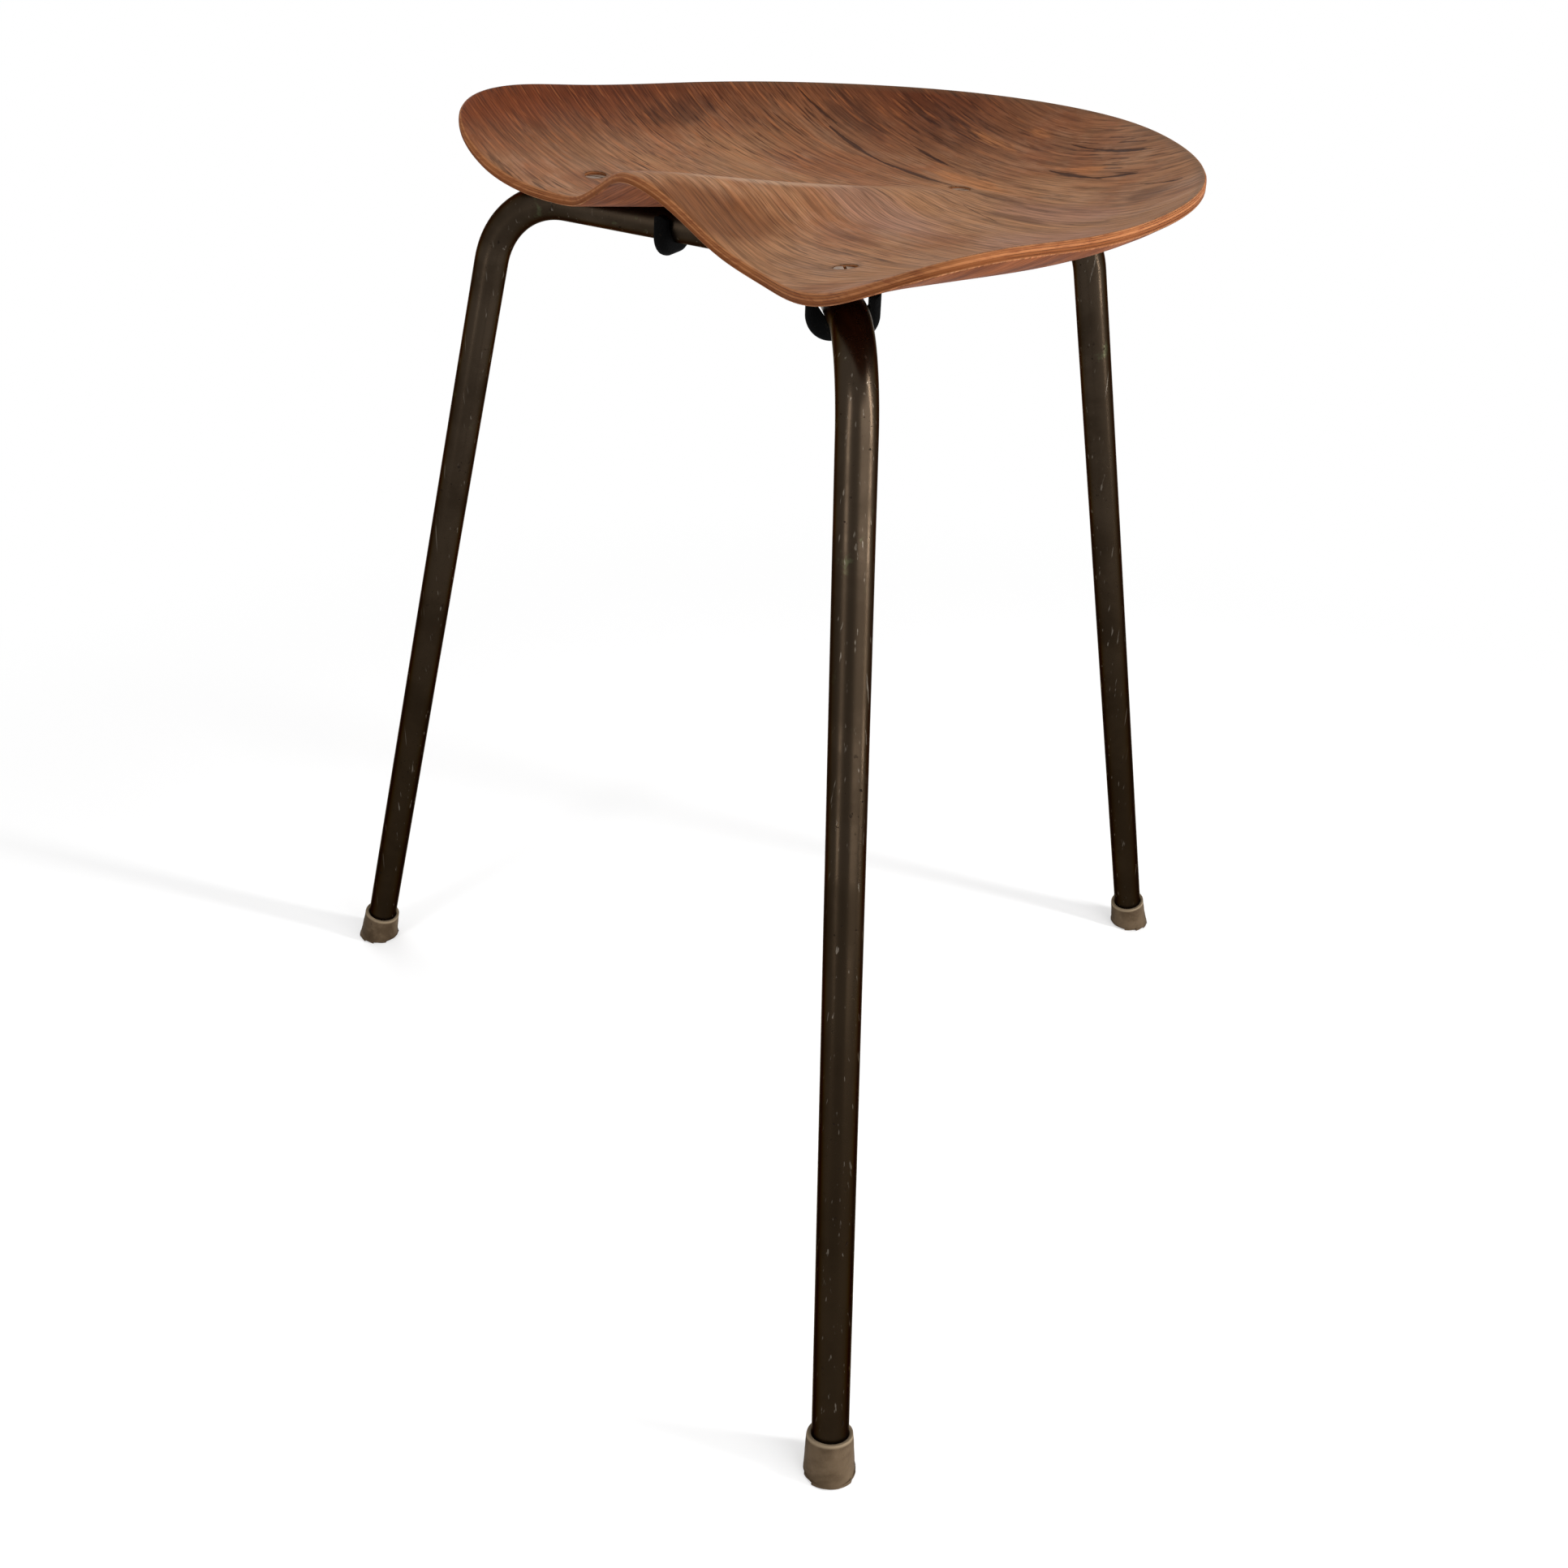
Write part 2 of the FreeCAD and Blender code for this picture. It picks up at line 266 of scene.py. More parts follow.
def make_grain():
    """Bands, fibres, pores and pale flecks that all run along X and sway a little together."""
    group, given, out = new_group(
        "wood_grain", [("Place", vector, None)],
        [("Bands", number), ("Fibres", number), ("Pores", number), ("Flecks", number)])
    place = given["Place"]
    sway = calc(group, "MULTIPLY", streaks(group, place, sway_squeeze), grain_sway)
    shift = put(group, "ShaderNodeCombineXYZ", {"Y": sway}).outputs["Vector"]
    along = vector_calc(group, "ADD", place, shift)
    feed(group, out["Bands"], streaks(group, along, band_squeeze, 4.0, 0.65))
    feed(group, out["Fibres"], streaks(group, along, fibre_squeeze, 5.0, 0.7))
    crowding = ranged(group, streaks(group, place, crowd_squeeze), 0.35, 0.65, 0.25, 1.0)
    pores = ranged(group, streaks(group, along, pore_squeeze), 0.55, 0.66)
    feed(group, out["Pores"], calc(group, "MULTIPLY", pores, crowding))
    flecks = streaks(group, along, fleck_squeeze, move=(3, 7, 0))
    feed(group, out["Flecks"], ranged(group, flecks, 0.56, 0.70))
    return group


def make_crack():
    """A dark split along the grain from one point to another, wider at its middle."""
    group, given, out = new_group(
        "crack", [("Place", vector, None), ("Start", vector, (0, 0, 0)), ("End", vector, (1, 0, 0)),
                  ("Width", number, 0.6 * mm)], [("Mask", number)])
    flat = vector_calc(group, "MULTIPLY", given["Place"], (1, 1, 0))
    away = vector_calc(group, "SUBTRACT", flat, given["Start"])
    run = vector_calc(group, "SUBTRACT", given["End"], given["Start"])
    share = calc(group, "DIVIDE", vector_calc(group, "DOT_PRODUCT", away, run),
                 vector_calc(group, "DOT_PRODUCT", run, run))
    share = calc(group, "MINIMUM", calc(group, "MAXIMUM", share, 0.0), 1.0)
    gap = vector_calc(group, "DISTANCE", away, vector_calc(group, "SCALE", run, share))
    jitter = calc(group, "SUBTRACT", streaks(group, given["Place"], crack_squeeze, 3.0, 0.6), 0.5)
    distance = calc(group, "ABSOLUTE", calc(group, "MULTIPLY_ADD", jitter, crack_wander, gap))
    middle = calc(group, "MULTIPLY", calc(group, "MULTIPLY", share, calc(group, "SUBTRACT", 1.0, share)), 4.0)
    width_share = calc(group, "MULTIPLY_ADD", middle, 1 - crack_end_share, crack_end_share)
    wide = calc(group, "MULTIPLY", given["Width"], width_share)
    feed(group, out["Mask"], ranged(group, calc(group, "DIVIDE", distance, wide), 0.5, 1.3, 1.0, 0.0))
    return group


def make_patch():
    """A soft-edged patch with a ragged outline."""
    group, given, out = new_group(
        "wear_and_light_patch", [("Place", vector, None), ("Centre", vector, (0, 0, 0)), ("Reach", vector, (1, 1, 1)),
                       ("Ragged", number, 0.5)], [("Mask", number)])
    away = vector_calc(group, "SUBTRACT", given["Place"], given["Centre"])
    reach = vector_calc(group, "LENGTH", vector_calc(group, "DIVIDE", away, given["Reach"]))
    rough = calc(group, "SUBTRACT", streaks(group, given["Place"], patch_squeeze, 4.0, 0.65), 0.5)
    rough = calc(group, "MULTIPLY", rough, given["Ragged"])
    edge = calc(group, "MULTIPLY_ADD", rough, patch_raggedness, reach)
    feed(group, out["Mask"], ranged(group, edge, 0.45, 1.15, 1.0, 0.0))
    return group


wood_grain = make_grain()
crack = make_crack()
wear_and_light_patch = make_patch()
print("shared wood effects:", wood_grain.name, crack.name, wear_and_light_patch.name)

# %% [markdown]
# Old steel, dull rubber and screw heads all carry the same kinds of age: cloudy tarnish, small
# pits and scratches that run along the piece. One group gives those masks, and each material
# decides what they do to its own colour and gloss.

# %% Shared effect: age on metal and rubber
tarnish_scale, speck_scale, sparse_scale, fine_scale = 26.0, 420.0, 45.0, 900.0
scratch_squeeze = (700, 700, 22)


def make_age():
    """Soft clouds, sparse dark specks, scratches along Z and an even fine noise."""
    group, given, out = new_group(
        "surface_age", [("Place", vector, None), ("Scale", number, 1.0)],
        [("Clouds", number), ("Specks", number), ("Scratches", number), ("Fine", number)])
    place = vector_calc(group, "SCALE", given["Place"], given["Scale"])
    feed(group, out["Clouds"], ranged(group, cloud(group, place, tarnish_scale, 5.0, 0.6, 0.4), 0.36, 0.66))
    specks = ranged(group, cloud(group, place, speck_scale, 2.0), 0.66, 0.72)
    sparse = ranged(group, cloud(group, place, sparse_scale, 2.0), 0.45, 0.6)
    feed(group, out["Specks"], calc(group, "MULTIPLY", specks, sparse))
    feed(group, out["Scratches"], ranged(group, streaks(group, place, scratch_squeeze), 0.66, 0.74))
    feed(group, out["Fine"], cloud(group, place, fine_scale, 3.0, 0.6))
    return group


surface_age = make_age()
print("shared age effect outputs:", [item.name for item in surface_age.interface.items_tree])

# %% [markdown]
# Sizes that the new pieces share with the construction model, in metres. The hub's axis is the
# middle of the hub plate, which the frame gives, and everything else is set out from there.

# %% Sizes of the stool
tube_radius = 8 * mm
tube_wall = 1.5 * mm
arm_height = 456 * mm
corner_reach = 160 * mm
foot_reach = 273 * mm
hub_drop = 6 * mm
bend_radius = 42 * mm
leg_turns = {"front_left_leg": -150.0, "front_right_leg": -30.0, "rear_leg": 90.0}
seat_thickness = 4.5 * mm
seat_half_width = 186 * mm
rim_rise = 31.8 * mm
dish_back = 20 * mm
middle_gap = 5 * mm
dish_power = 3.9
ridge_length = 180 * mm
ridge_half_width = 42 * mm
ridge_power = 1.05
ridge_waist_share = 0.5
rim_angles = (-90, -76, -62, -50, -40, -32, -24, -12, 8, 34, 62, 90)
rim_reach_shares = (0.609, 0.605, 0.637, 0.723, 0.930, 1.076, 1.087, 1.006, 0.899, 0.802, 0.738, 0.739)
rim_rise_shares = (0.681, 0.471, 0.102, -0.068, 0.133, 0.613, 0.861, 0.854, 0.873, 0.938, 0.997, 1.0)
front_screw_reach = 110 * mm
rear_screw_reach = 80 * mm

plate_low, plate_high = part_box("hub_plate")
hub = Vector(((plate_low.x + plate_high.x) / 2, (plate_low.y + plate_high.y) / 2, 0))
hub_height = arm_height - hub_drop
seat_low = hub_height + tube_radius + middle_gap + seat_thickness
print("hub axis at Y", round(hub.y / mm, 1), "mm, low middle of the seat at", round(seat_low / mm, 1), "mm")

# %% [markdown]
# The seat's rim changes its reach and its height all the way round. Both follow a smooth closed
# curve through a dozen places on one side, mirrored to the other. A periodic cubic spline does
# that: each stretch is a cubic, and slope and bend agree where two stretches meet, also where
# the last one meets the first.

# %% The rim's law
def closed_curve(angles, values):
    """A function of the angle in degrees that runs smoothly through values and closes on itself."""
    knots = np.array([*angles, angles[0] + 360], float)
    steps = np.diff(knots)
    heights = np.array([*values, values[0]], float)
    count = len(values)
    system = np.zeros((count, count))
    load = np.zeros(count)
    slopes = np.diff(heights) / steps
    for index in range(count):
        before, after = steps[index - 1], steps[index]
        system[index, index - 1] += before
        system[index, index] += 2 * (before + after)
        system[index, (index + 1) % count] += after
        load[index] = 6 * (slopes[index] - slopes[index - 1])
    bends = np.linalg.solve(system, load)
    bends = np.append(bends, bends[0])

    def at(angle):
        turned = (angle - knots[0]) % 360 + knots[0]
        stretch = np.clip(np.searchsorted(knots, turned, side="right") - 1, 0, count - 1)
        step = steps[stretch]
        left, rest = turned - knots[stretch], knots[stretch + 1] - turned
        cubic = (bends[stretch] * rest ** 3 + bends[stretch + 1] * left ** 3) / (6 * step)
        from_left = (heights[stretch] / step - bends[stretch] * step / 6) * rest
        from_right = (heights[stretch + 1] / step - bends[stretch + 1] * step / 6) * left
        return cubic + from_left + from_right

    return at


all_angles = [*rim_angles, *(180 - angle for angle in rim_angles[-2:0:-1])]
reach_at = closed_curve(all_angles, [*rim_reach_shares, *rim_reach_shares[-2:0:-1]])
rise_at = closed_curve(all_angles, [*rim_rise_shares, *rim_rise_shares[-2:0:-1]])
front_reach = reach_at(np.array([-90.0]))[0] * seat_half_width
front_rise = rise_at(np.array([-90.0]))[0] * rim_rise


def seat_top(x, y):
    """Height of the seat's top face over a place that is measured from the hub's axis."""
    angle = np.degrees(np.arctan2(y - dish_back, x))
    reach = reach_at(angle) * seat_half_width
    rise = rise_at(angle) * rim_rise
    share = np.hypot(x, y - dish_back) / reach
    bowl = np.where(share < 1, share ** dish_power, 1 + dish_power * (share - 1))
    forward = (dish_back - y) / front_reach
    crest = np.maximum(1 - (1 - forward) * front_reach / ridge_length, 0) ** ridge_power
    waist = ridge_waist_share + (1 - ridge_waist_share) * np.maximum(forward, 0) ** 2
    ridge = front_rise * crest * np.exp(-(x / (ridge_half_width * waist)) ** 2)
    return seat_low + rise * bowl + ridge * (1 - bowl)


def seat_bottom(x, y):
    """Height of the underside. The sheet's thickness is measured at right angles to the top."""
    step = seat_thickness / 4
    slope_x = (seat_top(x + step, y) - seat_top(x - step, y)) / (2 * step)
    slope_y = (seat_top(x, y + step) - seat_top(x, y - step)) / (2 * step)
    return seat_top(x, y) - seat_thickness * np.sqrt(1 + slope_x ** 2 + slope_y ** 2)


print("rim at the pommel: reach", round(front_reach / mm, 1), "rise", round(front_rise / mm, 1))

# %% [markdown]
# Pieces are built as bmeshes with operators. A finished one becomes an object at the origin,
# shaded smooth, with its creases kept sharp by angle. Holes and slots are cut with the mesh of
# a cutter, and turned shapes are spun from their profiles.

# %% Helpers for meshes
sharp_angle = math.radians(35.0)


def as_mesh(maker, name):
    """The bmesh as mesh data. The bmesh itself is freed."""
    mesh = bpy.data.meshes.new(name)
    maker.to_mesh(mesh)
    maker.free()
    return mesh


def absorb(whole, part):
    """Adds one bmesh to another."""
    holder = as_mesh(part, "holder")
    whole.from_mesh(holder)
    bpy.data.meshes.remove(holder)


def new_object(name, data):
    """An object in the scene that shows the data."""
    made = bpy.data.objects.new(name, data)
    bpy.context.scene.collection.objects.link(made)
    return made


def smooth(mesh):
    mesh.polygons.foreach_set("use_smooth", [True] * len(mesh.polygons))
    mesh.set_sharp_from_angle(angle=sharp_angle)
    mesh.update()


def finish_piece(name, mesh_maker, material):
    """An object at the origin from a bmesh, smooth and riding on the stool."""
    mesh_maker.normal_update()
    piece = new_object(name, as_mesh(mesh_maker, name))
    smooth(piece.data)
    piece.data.materials.append(material)
    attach(piece, "root")
    return piece


def cut_away(piece, cutter_mesh):
    """The piece without what a cutter's mesh takes away."""
    cutter = new_object("cutter", cutter_mesh)
    cut = piece.modifiers.new("cut", "BOOLEAN")
    cut.operation = "DIFFERENCE"
    cut.solver = "EXACT"
    cut.object = cutter
    bpy.context.view_layer.update()
    evaluated = piece.evaluated_get(bpy.context.evaluated_depsgraph_get())
    mesh = bpy.data.meshes.new_from_object(evaluated)
    piece.modifiers.clear()
    piece.data = mesh
    bpy.data.objects.remove(cutter)
    smooth(mesh)


def carry(piece, name, values):
    """Gives the piece's points an attribute that its material reads."""
    data = piece.data.attributes.new(name, "FLOAT", "POINT").data
    data.foreach_set("value", np.array(values, np.float32))


def spun(profile, segments, matrix):
    """A closed turned shape from its profile of radius and height, both ends on the axis."""
    maker = bmesh.new()
    points = [maker.verts.new((radius, 0, height)) for radius, height in profile]
    edges = [maker.edges.new(pair) for pair in zip(points, points[1:])]
    bmesh.ops.spin(maker, geom=points + edges, cent=(0, 0, 0), axis=(0, 0, 1), angle=math.tau,
                   steps=segments, use_merge=True)
    bmesh.ops.remove_doubles(maker, verts=maker.verts, dist=1e-6)
    bmesh.ops.recalc_face_normals(maker, faces=maker.faces)
    bmesh.ops.transform(maker, matrix=matrix, verts=maker.verts)
    return maker


def sliced(maker, outside):
    """Cuts away what lies past the plane through the origin, and gives the edges of the cut."""
    cut = bmesh.ops.bisect_plane(maker, geom=maker.verts[:] + maker.edges[:] + maker.faces[:],
                                 plane_co=(0, 0, 0), plane_no=outside, clear_outer=True)
    return [item for item in cut["geom_cut"] if isinstance(item, bmesh.types.BMEdge)]


def rounded(maker, edges, radius, steps):
    bmesh.ops.bevel(maker, geom=edges, offset=radius, affect="EDGES", segments=steps, profile=0.5,
                    material=-1)


def about_hub(turn_degrees):
    """The move that takes a piece from the hub's own frame, turned to its arm, to its place."""
    return Matrix.Translation(hub) @ Matrix.Rotation(math.radians(turn_degrees), 4, "Z")


def screw_places():
    """Each seat screw: its arm's turn, and the point of the seat's top face above it."""
    places = []
    for name, turn in leg_turns.items():
        reach = rear_screw_reach if name == "rear_leg" else front_screw_reach
        x, y = reach * math.cos(math.radians(turn)), reach * math.sin(math.radians(turn))
        height = float(seat_top(np.array([x]), np.array([y]))[0])
        places.append((turn, hub + Vector((x, y, height))))
    return places


print("screws at", [[round(value / mm) for value in point] for turn, point in screw_places()])

# %% [markdown]
# The seat's finish starts with where it is worn, and where light and shade are painted on it. The real seat
# is dark red-brown at its back rim and warmer brown in the middle, and its varnish has worn to a paler,
# greyer brown where people sit and along the pommel's ridge. The grey patches also carry a painted sheen, the
# ridge a painted highlight, and a ring round each screw is painted shade where the countersink is recessed.
# Long splits run along the grain behind the rear screw, some patches show the bright orange wood under the
# varnish, and the pommel's flanks stay dark and warm. The places are in millimetres about the hub's axis,
# each with its reach along X and Y. A crack has its two ends and its width.

# %% Places of wear and painted light on the seat
any_height = 100.0
# How far the painted shade round each screw's countersink reaches, in mm.
recess_shade_reach = 6.5
cracks = [
    ((-104, 82), (-48, 79), 1.0), ((-56, 80), (-7, 81), 1.4), ((-64, 101), (-32, 99), 1.0),
    ((16, 119), (54, 115), 1.1), ((48, 116), (72, 118), 0.8), ((4, 139), (66, 134), 0.7),
    ((-136, 84), (-104, 86), 0.7), ((20, 62), (58, 52), 0.4), ((84, 108), (110, 104), 0.6),
]
orange_patches = [((-6, 92), (26, 7)), ((-14, 140), (9, 3)), ((36, 122), (15, 3.5)), ((-34, 126), (16, 3))]
dark_stains = [((-104, 96), (30, 10)), ((22, 82), (20, 4)), ((60, 62), (22, 4)), ((100, 96), (12, 8)),
               ((-60, 122), (40, 8)), ((-150, 24), (12, 26))]
warm_flanks = [((30, -78), (24, 44)), ((-30, -86), (22, 34))]
# Grey patches: partly worn varnish, partly a painted sheen of soft reflected light.
grey_wear_and_sheen = [((24, 14), (46, 22)), ((70, 74), (40, 16)), ((-46, -18), (30, 16)), ((112, 30), (34, 30))]
# Painted highlight along the pommel's ridge, over its polished wear.
ridge_wear_and_highlight = [((0, -24), (6, 52))]
# Painted shade in and round each screw's countersink, where the recess lies in shadow.
screw_recess_shades = [(((point.x - hub.x) / mm, (point.y - hub.y) / mm), (recess_shade_reach, recess_shade_reach))
               for turn, point in screw_places()]


def spot(x, y):
    """A place on the seat in the frame's own coordinates, from millimetres about the hub."""
    return (x * mm + hub.x, y * mm + hub.y, 0)


def tinted_patches(tree, place, base, patches, colour, strength, ragged):
    """The base colour with soft patches of another one, which reach through all heights."""
    for (x, y), (reach_x, reach_y) in patches:
        patch = use(tree, wear_and_light_patch, Place=place, Centre=spot(x, y),
                    Reach=(reach_x * mm, reach_y * mm, any_height), Ragged=ragged)["Mask"]
        base = laid_over(tree, base, patch, strength, colour)
    return base


print("cracks:", len(cracks), "stains:", len(dark_stains), "orange patches:", len(orange_patches))

# %% [markdown]
# The face is painted in layers, from the broad change of colour down to the single pores. Wear and painted
# light under the grain come first: the left wing is painted darker as shade, the right side lighter as light,
# and the grey patches carry a painted sheen. Then the fibres are multiplied in, and what lies on top of the
# wood comes last: the worn ridge with its painted highlight, painted shade in a ring round each screw, flecks
# and pores.

# %% Colour of the varnished faces
# The dark colour is the unworn varnish and also the left wing's painted shade; the pale one is the worn
# varnish and also the right side's painted light.
kept_varnish_and_shade = tint(80, 34, 14)
worn_varnish_and_light = tint(148, 106, 74)
# Limits of the left wing's painted shade along X, of the wear from back to front along Y, and of the right
# side's painted light along X.
left_wing_shade = (-0.18, -0.09)
back_to_front = (0.075, -0.06)
left_to_right_light = (-0.10, 0.06)
right_to_left = (0.04, -0.10)
mottle_squeeze = (34, 90, 10)


def face_colour(tree, place, grain, fibres):
    """The top: red-brown towards the back and worn greyer where people sit, with painted shade on the left
    wing and painted light on the right side.
    """
    axes = axes_of(tree, place)
    # Painted shade and light: the left wing is painted darker and the right side lighter, as light falls on
    # them. The darker back and the paler middle are the varnish's own wear.
    across = ranged(tree, axes["X"], *left_wing_shade, 0.05, 1.0)
    forward = ranged(tree, axes["Y"], *back_to_front, 0.02, 1.0)
    lit_right_side = ranged(tree, axes["X"], *left_to_right_light, 0.0, 0.8)
    wear = calc(tree, "MINIMUM", calc(tree, "MULTIPLY_ADD", across, forward, lit_right_side), 1.0)
    base = mixed(tree, wear, kept_varnish_and_shade, worn_varnish_and_light)
    reddish = ranged(tree, cloud(tree, place, 16.0, 3.0, 0.6), 0.44, 0.66)
    base = laid_over(tree, base, reddish, 0.45, tint(118, 60, 30))
    mottled = ranged(tree, streaks(tree, place, mottle_squeeze, 5.0, 0.7), 0.48, 0.68)
    base = laid_over(tree, base, calc(tree, "MULTIPLY", mottled, wear), 0.4, tint(158, 122, 96))
    # The grey patches: partly wear, partly painted sheen.
    base = tinted_patches(tree, place, base, grey_wear_and_sheen, tint(146, 108, 92), 0.5, 0.25)
    base = tinted_patches(tree, place, base, warm_flanks, tint(96, 54, 26), 0.75, 0.2)
    base = tinted_patches(tree, place, base, dark_stains, tint(50, 24, 14), 0.45, 0.45)
    base = tinted_patches(tree, place, base, orange_patches, tint(180, 114, 66), 0.4, 0.8)
    base = laid_over(tree, base, ranged(tree, grain["Bands"], 0.44, 0.66), 0.2, tint(62, 29, 16))
    base = mixed(tree, 1.0, base, fibres, "MULTIPLY")
    # The ridge: worn pale and with a painted highlight.
    base = tinted_patches(tree, place, base, ridge_wear_and_highlight, tint(190, 158, 130), 0.45, 0.12)
    # Painted shade in a ring round each screw's countersink.
    base = tinted_patches(tree, place, base, screw_recess_shades, tint(34, 18, 11), 0.75, 0.12)
    left = ranged(tree, axes["X"], *right_to_left, 0.06, 0.32)
    base = laid_over(tree, base, grain["Flecks"], left, tint(172, 102, 58))
    return laid_over(tree, base, grain["Pores"], 0.65, tint(38, 17, 10))


def underside_colour(tree, grain, fibres):
    warm = mixed(tree, ranged(tree, grain["Bands"], 0.4, 0.64), tint(116, 66, 38), tint(90, 48, 27))
    return mixed(tree, 1.0, warm, fibres, "MULTIPLY")


print("worn varnish is brighter by", round(worn_varnish_and_light[0] / kept_varnish_and_shade[0], 1), "times in its red")

# %% [markdown]
# The cut edge shows the plies. The mesh carries the attribute layer, which is 0 on the top face
# and 1 on the underside, so the same material can tell the faces from the edge and count the
# plies. A second attribute, rim, is 1 at the outline. With it the back of the rim gets the worn
# grey-brown band that hands have left there.

# %% Plywood
ply_count = 5
edge_squeeze = (130, 130, 900)
worn_rim = (0.965, 0.995)
back_half = (-0.08, 0.02)


def edge_colour(tree, place, layer):
    """Plies of turning grain between thin glue lines, and how strongly each glue line shows."""
    plies = calc(tree, "MULTIPLY", layer, float(ply_count))
    odd = calc(tree, "GREATER_THAN", calc(tree, "FRACT", calc(tree, "MULTIPLY", plies, 0.5)), 0.5)
    edge = mixed(tree, odd, tint(150, 98, 62), tint(126, 78, 46))
    dark_grain = ranged(tree, streaks(tree, place, edge_squeeze, 3.0, 0.6), 0.42, 0.70)
    edge = laid_over(tree, edge, dark_grain, 0.6, tint(104, 56, 34))
    edge = laid_over(tree, edge, ranged(tree, layer, 0.3, 0.9), 0.8, tint(88, 46, 20))
    in_ply = calc(tree, "ABSOLUTE", calc(tree, "SUBTRACT", calc(tree, "FRACT", plies), 0.5))
    broken = ranged(tree, cloud(tree, place, 40.0, 2.0), 0.35, 0.6, 0.2, 0.8)
    glue = calc(tree, "MULTIPLY", ranged(tree, in_ply, 0.34, 0.47), broken)
    return mixed(tree, glue, edge, tint(70, 36, 22)), glue


def all_splits(tree, place):
    """The mask of every crack in the seat's top face."""
    splits = 0.0
    for start, end, width in cracks:
        mask = use(tree, crack, Place=place, Start=spot(*start), End=spot(*end), Width=width * mm)["Mask"]
        splits = calc(tree, "MAXIMUM", splits, mask)
    return splits


def make_plywood():
    material, tree, shader, place = new_material("plywood_wear_and_painted_light")
    layer = attribute(tree, "layer")
    on_top = ranged(tree, layer, 0.02, 0.06, 1.0, 0.0)
    on_edge = calc(tree, "MULTIPLY", ranged(tree, layer, 0.05, 0.12),
                   ranged(tree, layer, 0.88, 0.95, 1.0, 0.0))
    below = ranged(tree, layer, 0.94, 0.98)
    grain = use(tree, wood_grain, Place=place)
    fibre_tone = ranged(tree, grain["Fibres"], 0.32, 0.68, 0.60, 1.34)
    greys = put(tree, "ShaderNodeCombineColor", {"Red": fibre_tone, "Green": fibre_tone, "Blue": fibre_tone})
    fibres = greys.outputs["Color"]
    base = face_colour(tree, place, grain, fibres)
    at_the_back = ranged(tree, axes_of(tree, place)["Y"], *back_half)
    handled = calc(tree, "MULTIPLY", ranged(tree, attribute(tree, "rim"), *worn_rim), at_the_back)
    base = laid_over(tree, base, handled, 0.5, tint(92, 70, 50))
    splits = calc(tree, "MULTIPLY", all_splits(tree, place), on_top)
    base = laid_over(tree, base, splits, 0.85, tint(44, 24, 16))
    base = mixed(tree, below, base, underside_colour(tree, grain, fibres))
    edge, glue = edge_colour(tree, place, layer)
    base = mixed(tree, on_edge, base, edge)
    varnish = ranged(tree, cloud(tree, place, 30.0, 4.0, 0.6), 0.3, 0.7, 0.44, 0.6)
    rough = weighted(tree, (varnish, 1.0), (calc(tree, "MAXIMUM", on_edge, below), 0.12))
    height = weighted(tree, (grain["Fibres"], 0.5), (grain["Pores"], -0.8), (splits, -4.0),
                      (calc(tree, "MULTIPLY", glue, on_edge), -1.5))
    shader.inputs["Specular IOR Level"].default_value = 0.03
    finish_shader(tree, shader, base, rough, height, 0.12 * mm, 0.8)
    return material


plywood = make_plywood()
print("plywood nodes:", len(plywood.node_tree.nodes))

# %% [markdown]
# The seat is one sheet of even thickness. A square grid is rounded to a disc first, which keeps
# its cells alike in size and has no pole in the middle. Two rings are grown round the disc, so
# that the edges that run into the rim all point outwards and a bevel there is even all the way
# round. Then each point goes to its place under the rim's law. Extruding the whole sheet gives
# the underside and the wall at once, a bevel rounds the two rims, and the wall is cut into thin
# strips, so that the plies can stand a little proud of their glue lines, as they do on an old
# edge.

# %% Seat
grid_cells = 150
ring_shares = (0.92, 0.96, 1.0)
upper_round = 2.5 * mm
lower_round = 0.7 * mm
round_steps = 4
wall_cuts = 11
face_margin = 0.04
groove_start = 0.3
groove_depth = 0.09 * mm
dent_scale, dent_start, dent_depth = 45, 0.25, 0.44 * mm
nick_scale, nick_depth = 170, 0.11 * mm


def place_on_seat(points, low):
    """Puts the points of the unit disc on the seat's top face, or on its underside."""
    flat = np.array([point.co for point in points])
    share = np.hypot(flat[:, 0], flat[:, 1])
    angle = np.degrees(np.arctan2(flat[:, 1], flat[:, 0]))
    reach = share * reach_at(angle) * seat_half_width
    x = reach * np.cos(np.radians(angle))
    y = dish_back + reach * np.sin(np.radians(angle))
    z = seat_bottom(x, y) if low else seat_top(x, y)
    for point, place in zip(points, np.column_stack((x, y, z))):
        point.co = Vector(place) + hub


